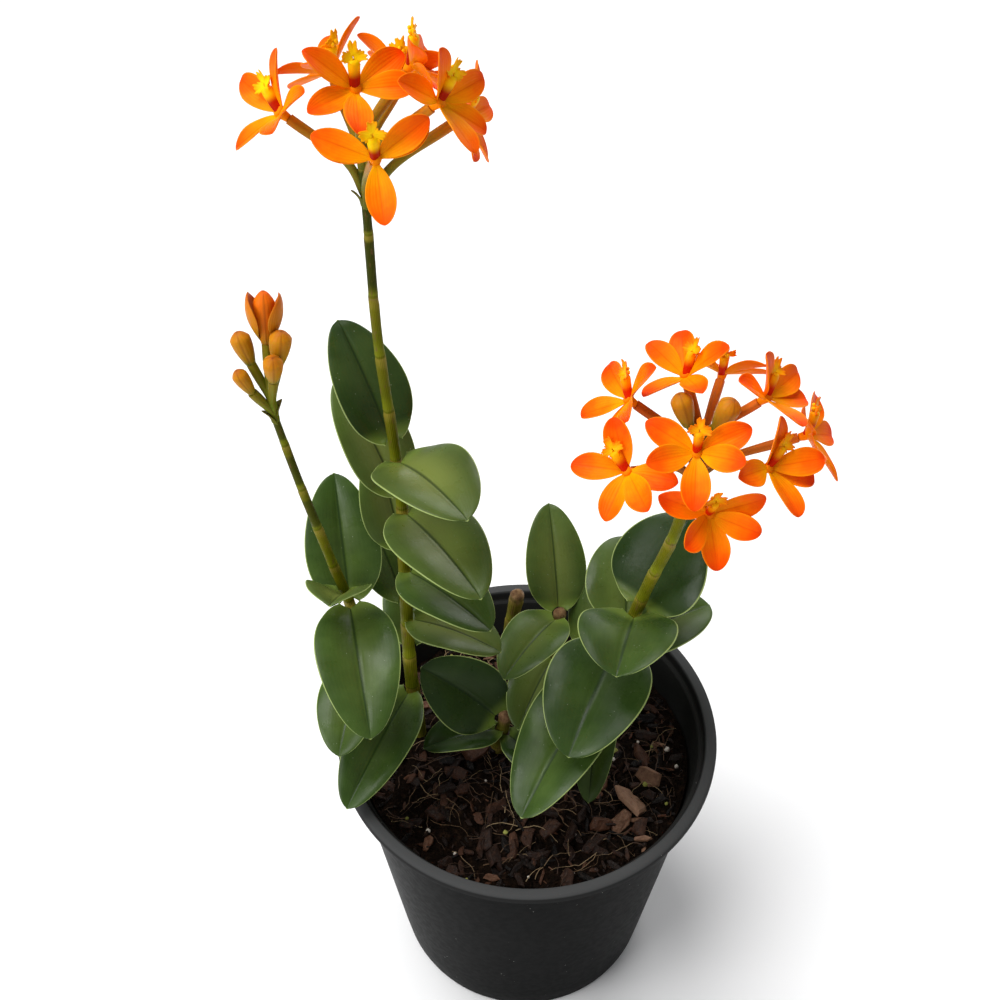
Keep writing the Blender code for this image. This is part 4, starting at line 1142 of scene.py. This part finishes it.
def add_lip(shape, centre, face, lip, yellow, dice):
    """Claw with its red throat, fringed three-lobed blade and the yellow callus at its middle."""
    across = face.cross(lip)
    mouth = centre + (face * 0.74 + lip * 0.68).normalized() * LIP_CLAW_LENGTH
    forward = (lip * 0.92 + face * 0.38).normalized()
    normal = across.cross(forward)
    path = smooth_path([centre, centre.lerp(mouth, 0.5) - lip * 0.25, mouth], 0.6)

    def radius(s, turn):
        mouth_share = 1 - 2.5 * max(0, s - 0.9)
        return LIP_CLAW_RADIUS * (0.8 + 0.28 * s + 0.12 * cos(2 * turn)) * mouth_share

    tube(shape, path, radius, 16, lambda s, turn: (0.05 + 0.2 * s, yellow, clamp(1.5 - 1.7 * s), 0.0), 1)
    hinge = mouth + forward * 0.6
    phase = dice.uniform(0, 3)

    def cell(ring_share, turn_share):
        share = ring_share ** 0.9
        angle = radians(LIP_SPREAD) * (2 * turn_share - 1)
        reach = lip_outline(angle, phase) * share + 0.15
        sag = -0.11 * reach * reach + 0.35 * sin(4 * angle + phase) * share ** 2
        spot = hinge + (forward * cos(angle) + across * sin(angle)) * reach + normal * sag
        mark = (0.2 + 0.8 * share, yellow, 0.0, clamp(1.1 - 2.2 * share))
        return spot, normal * (LIP_HALF_THICKNESS * (1.15 - 0.75 * share)), mark, mark

    add_sheets(shape, LIP_GRID, cell, 1)
    for side, ahead, size in CALLUS:
        middle = hinge + across * side + forward * ahead + normal * 0.4
        add_ball(shape, middle, size, 0.25, 2, (0.3, yellow, 0.0, 1.0), 1)


def make_bloom(shape, name):
    """Five tepals, the heart that holds them, and the lip."""
    cane, foot, azimuth, rise, length, face_azimuth, face_rise, turn, *posed = BLOOMS[name]
    _, end, out = stalk_line(cane, foot, azimuth, rise, length)
    dice = random.Random(name)
    face = direction(face_azimuth, face_rise)
    lip = turned((UP - face * UP.dot(face)).normalized(), turn, face)
    centre = end + out * (GAP + HEART_RADIUS)
    tone = BLOOM_TONES[cane]
    heart = smooth_path([end + out * 0.05, centre - face * 0.2, centre + face * HEART_RADIUS], 0.5)

    def heart_radius(s, turn):
        return HEART_RADIUS * (0.62 + 0.45 * s - 0.35 * s ** 4)

    tube(shape, heart, heart_radius, 14, lambda s, turn: (0.15 * s, 0.5, 0.2, tone))
    for usual, place in zip(TEPALS, posed or TEPALS):
        around, opening = (place or usual)[:2]
        bend, long, wide = usual[2:]
        surface = tepal_surface(centre + face * 0.5, face, lip, around, opening, bend, TEPAL_LENGTH * long,
                                TEPAL_WIDTH * wide * TEPAL_SPREADS[cane], dice)
        shade = clamp(tone + dice.uniform(-0.12, 0.12))
        blade(shape, surface, TEPAL_GRID, TEPAL_THICKNESS,
              lambda s, t, under: (s, 0.5 + 0.5 * t, under, shade))
    add_lip(shape, centre, face, lip, LIP_YELLOWS[cane], dice)


def make_blooms(paints):
    joined = {other for others in TOUCHING.values() for other in others}
    for name in BLOOMS:
        if name in joined:
            continue
        shape = Shape()
        for part in [name, *TOUCHING.get(name, [])]:
            make_bloom(shape, part)
        stand_for(shape.finish(name + "_flower", paints), name)


def add_bud(shape, start, out, length, radius, ripe):
    """A bud of three clasped sepals, with a seam between each two."""

    def bud_radius(s, turn):
        place = BUD_RINGS[round(s * (len(BUD_RINGS) - 1))]
        body = 0.42 + 0.6 * sin(pi * clamp(0.06 + 0.6 * place)) ** 1.1
        body *= sqrt(clamp((1.01 - place) / 0.2))
        return radius * body * (0.93 + 0.07 * abs(sin(1.5 * turn)) ** 0.35)

    def mark(s, turn):
        seam = clamp(1 - abs(sin(1.5 * turn)) * 4.5)
        return (s, turn / tau, seam, ripe)

    path = [start + out * (length * s) for s in BUD_RINGS]
    tube(shape, path, bud_radius, BUD_SIDES, mark)


def add_closed_bud(shape, row, lift, gap, added_length, ripe):
    """A closed bud whose axis is lifted from the way its stalk points."""
    *stalk, length, radius = row
    _, end, out = stalk_line(*stalk)
    out = (out + UP * lift).normalized()
    add_bud(shape, end + out * gap, out, length + added_length, radius, ripe)


def make_left_buds(paint):
    for number, row in enumerate(LEFT_BUDS, 1):
        shape = Shape()
        add_closed_bud(shape, row, 0.4, 0.1, 0.2, 0.06)
        stand_for(shape.finish(f"buds_left_{number}_bud", [paint]), f"buds_left_{number}")


def make_right_buds(paint):
    shape = Shape()
    for row in RIGHT_BUDS:
        add_closed_bud(shape, row, 0.8, -1.0, 0.0, 0.0)
    stand_for(shape.finish("buds_right_pair", [paint]), RIGHT)


def hugging_surface(start, axis, side, around, length, width):
    """A sepal curled round the bud's axis like a spoon."""

    def surface(s, t):
        wrap = around + (88 - 30 * s) * t * tepal_share(s) ** 0.8
        radius = 0.7 + width * 0.52 * sin(pi * clamp(0.04 + 0.66 * s))
        return start + axis * (length * s * (1 - 0.05 * t * t)) + turned(side, wrap, axis) * radius

    return surface


def make_opening_bud(paints):
    """A half-open bud: rolled petals between two sepals that have parted."""
    *stalk, length, width = OPENING_BUD
    _, end, out = stalk_line(*stalk)
    start = end + out * 0.1
    shape = Shape()
    add_bud(shape, start, out, length + 0.9, width * 0.36, 0.8)
    side = direction(2, 0)
    side = (side - out * side.dot(out)).normalized()
    for around in (0, 180):
        surface = hugging_surface(start + out * 0.6, out, side, around, length, width)
        blade(shape, surface, (18, 14), TEPAL_THICKNESS, lambda s, t, under: (s, 0.5 + 0.5 * t, 0.0, 0.28))
    stand_for(shape.finish("bud_opening_flower", paints), "bud_opening")


def make_floor():
    mesh = bpy.data.meshes.new("floor")
    corners = [(x * FLOOR_HALF, y * FLOOR_HALF, 0) for x, y in ((-1, -1), (1, -1), (1, 1), (-1, 1))]
    mesh.from_pydata(corners, [], [(0, 1, 2, 3)])
    paper = bpy.data.materials.new("paper_floor")
    paper.use_nodes = True
    shader = paper.node_tree.nodes["Principled BSDF"]
    shader.inputs["Base Color"].default_value = (FLOOR_GREY, FLOOR_GREY, FLOOR_GREY, 1)
    shader.inputs["Roughness"].default_value = FLOOR_ROUGHNESS
    mesh.materials.append(paper)
    floor = put("floor", mesh)


def make_studio():
    """A pale floor, soft lights and the photograph's point of view."""
    make_floor()
    scene = bpy.context.scene
    world = bpy.data.worlds.new("studio")
    world.use_nodes = True
    background = world.node_tree.nodes["Background"]
    background.inputs["Color"].default_value = WORLD_COLOUR
    background.inputs["Strength"].default_value = WORLD_STRENGTH
    scene.world = world
    sun = bpy.data.lights.new("top", "SUN")
    sun.energy = SUN_STRENGTH
    sun.angle = radians(SUN_WIDTH)
    put("top", sun, aim=Vector(SUN_HEADING))
    for name, (place, size, power) in LAMPS.items():
        lamp = bpy.data.lights.new(name, "AREA")
        lamp.shape = "DISK"
        lamp.size = size
        lamp.energy = power
        put(name, lamp, place, Vector(LAMP_TARGET) - Vector(place))
    camera = bpy.data.cameras.new("view")
    camera.lens = CAMERA_LENS
    camera.sensor_width = CAMERA_SENSOR
    camera.clip_start = CAMERA_CLIP
    scene.camera = put("view", camera, CAMERA_PLACE)
    scene.camera.rotation_euler = (radians(CAMERA_TILT), 0, 0)
    scene.view_settings.view_transform = "Standard"


def main():
    tepal, lip, bud, leaf = tepal_paint(), lip_paint(), bud_paint(), leaf_paint()
    make_pot(pot_paint())
    make_mix([fines_paint(), bark_paint(), fibre_paint(), grain_paint()])
    stem_paints = [cane_paint(), stalk_paint()]
    for name in CANES:
        make_cane(name, stem_paints)
    make_right_buds(bud)
    for (start, cane), rows in LEAVES.items():
        for number, row in enumerate(rows, 1):
            make_leaf(f"{start}_{number}", cane, row, leaf)
    make_blooms([tepal, lip])
    make_left_buds(bud)
    make_opening_bud([bud, tepal])
    make_studio()


main()
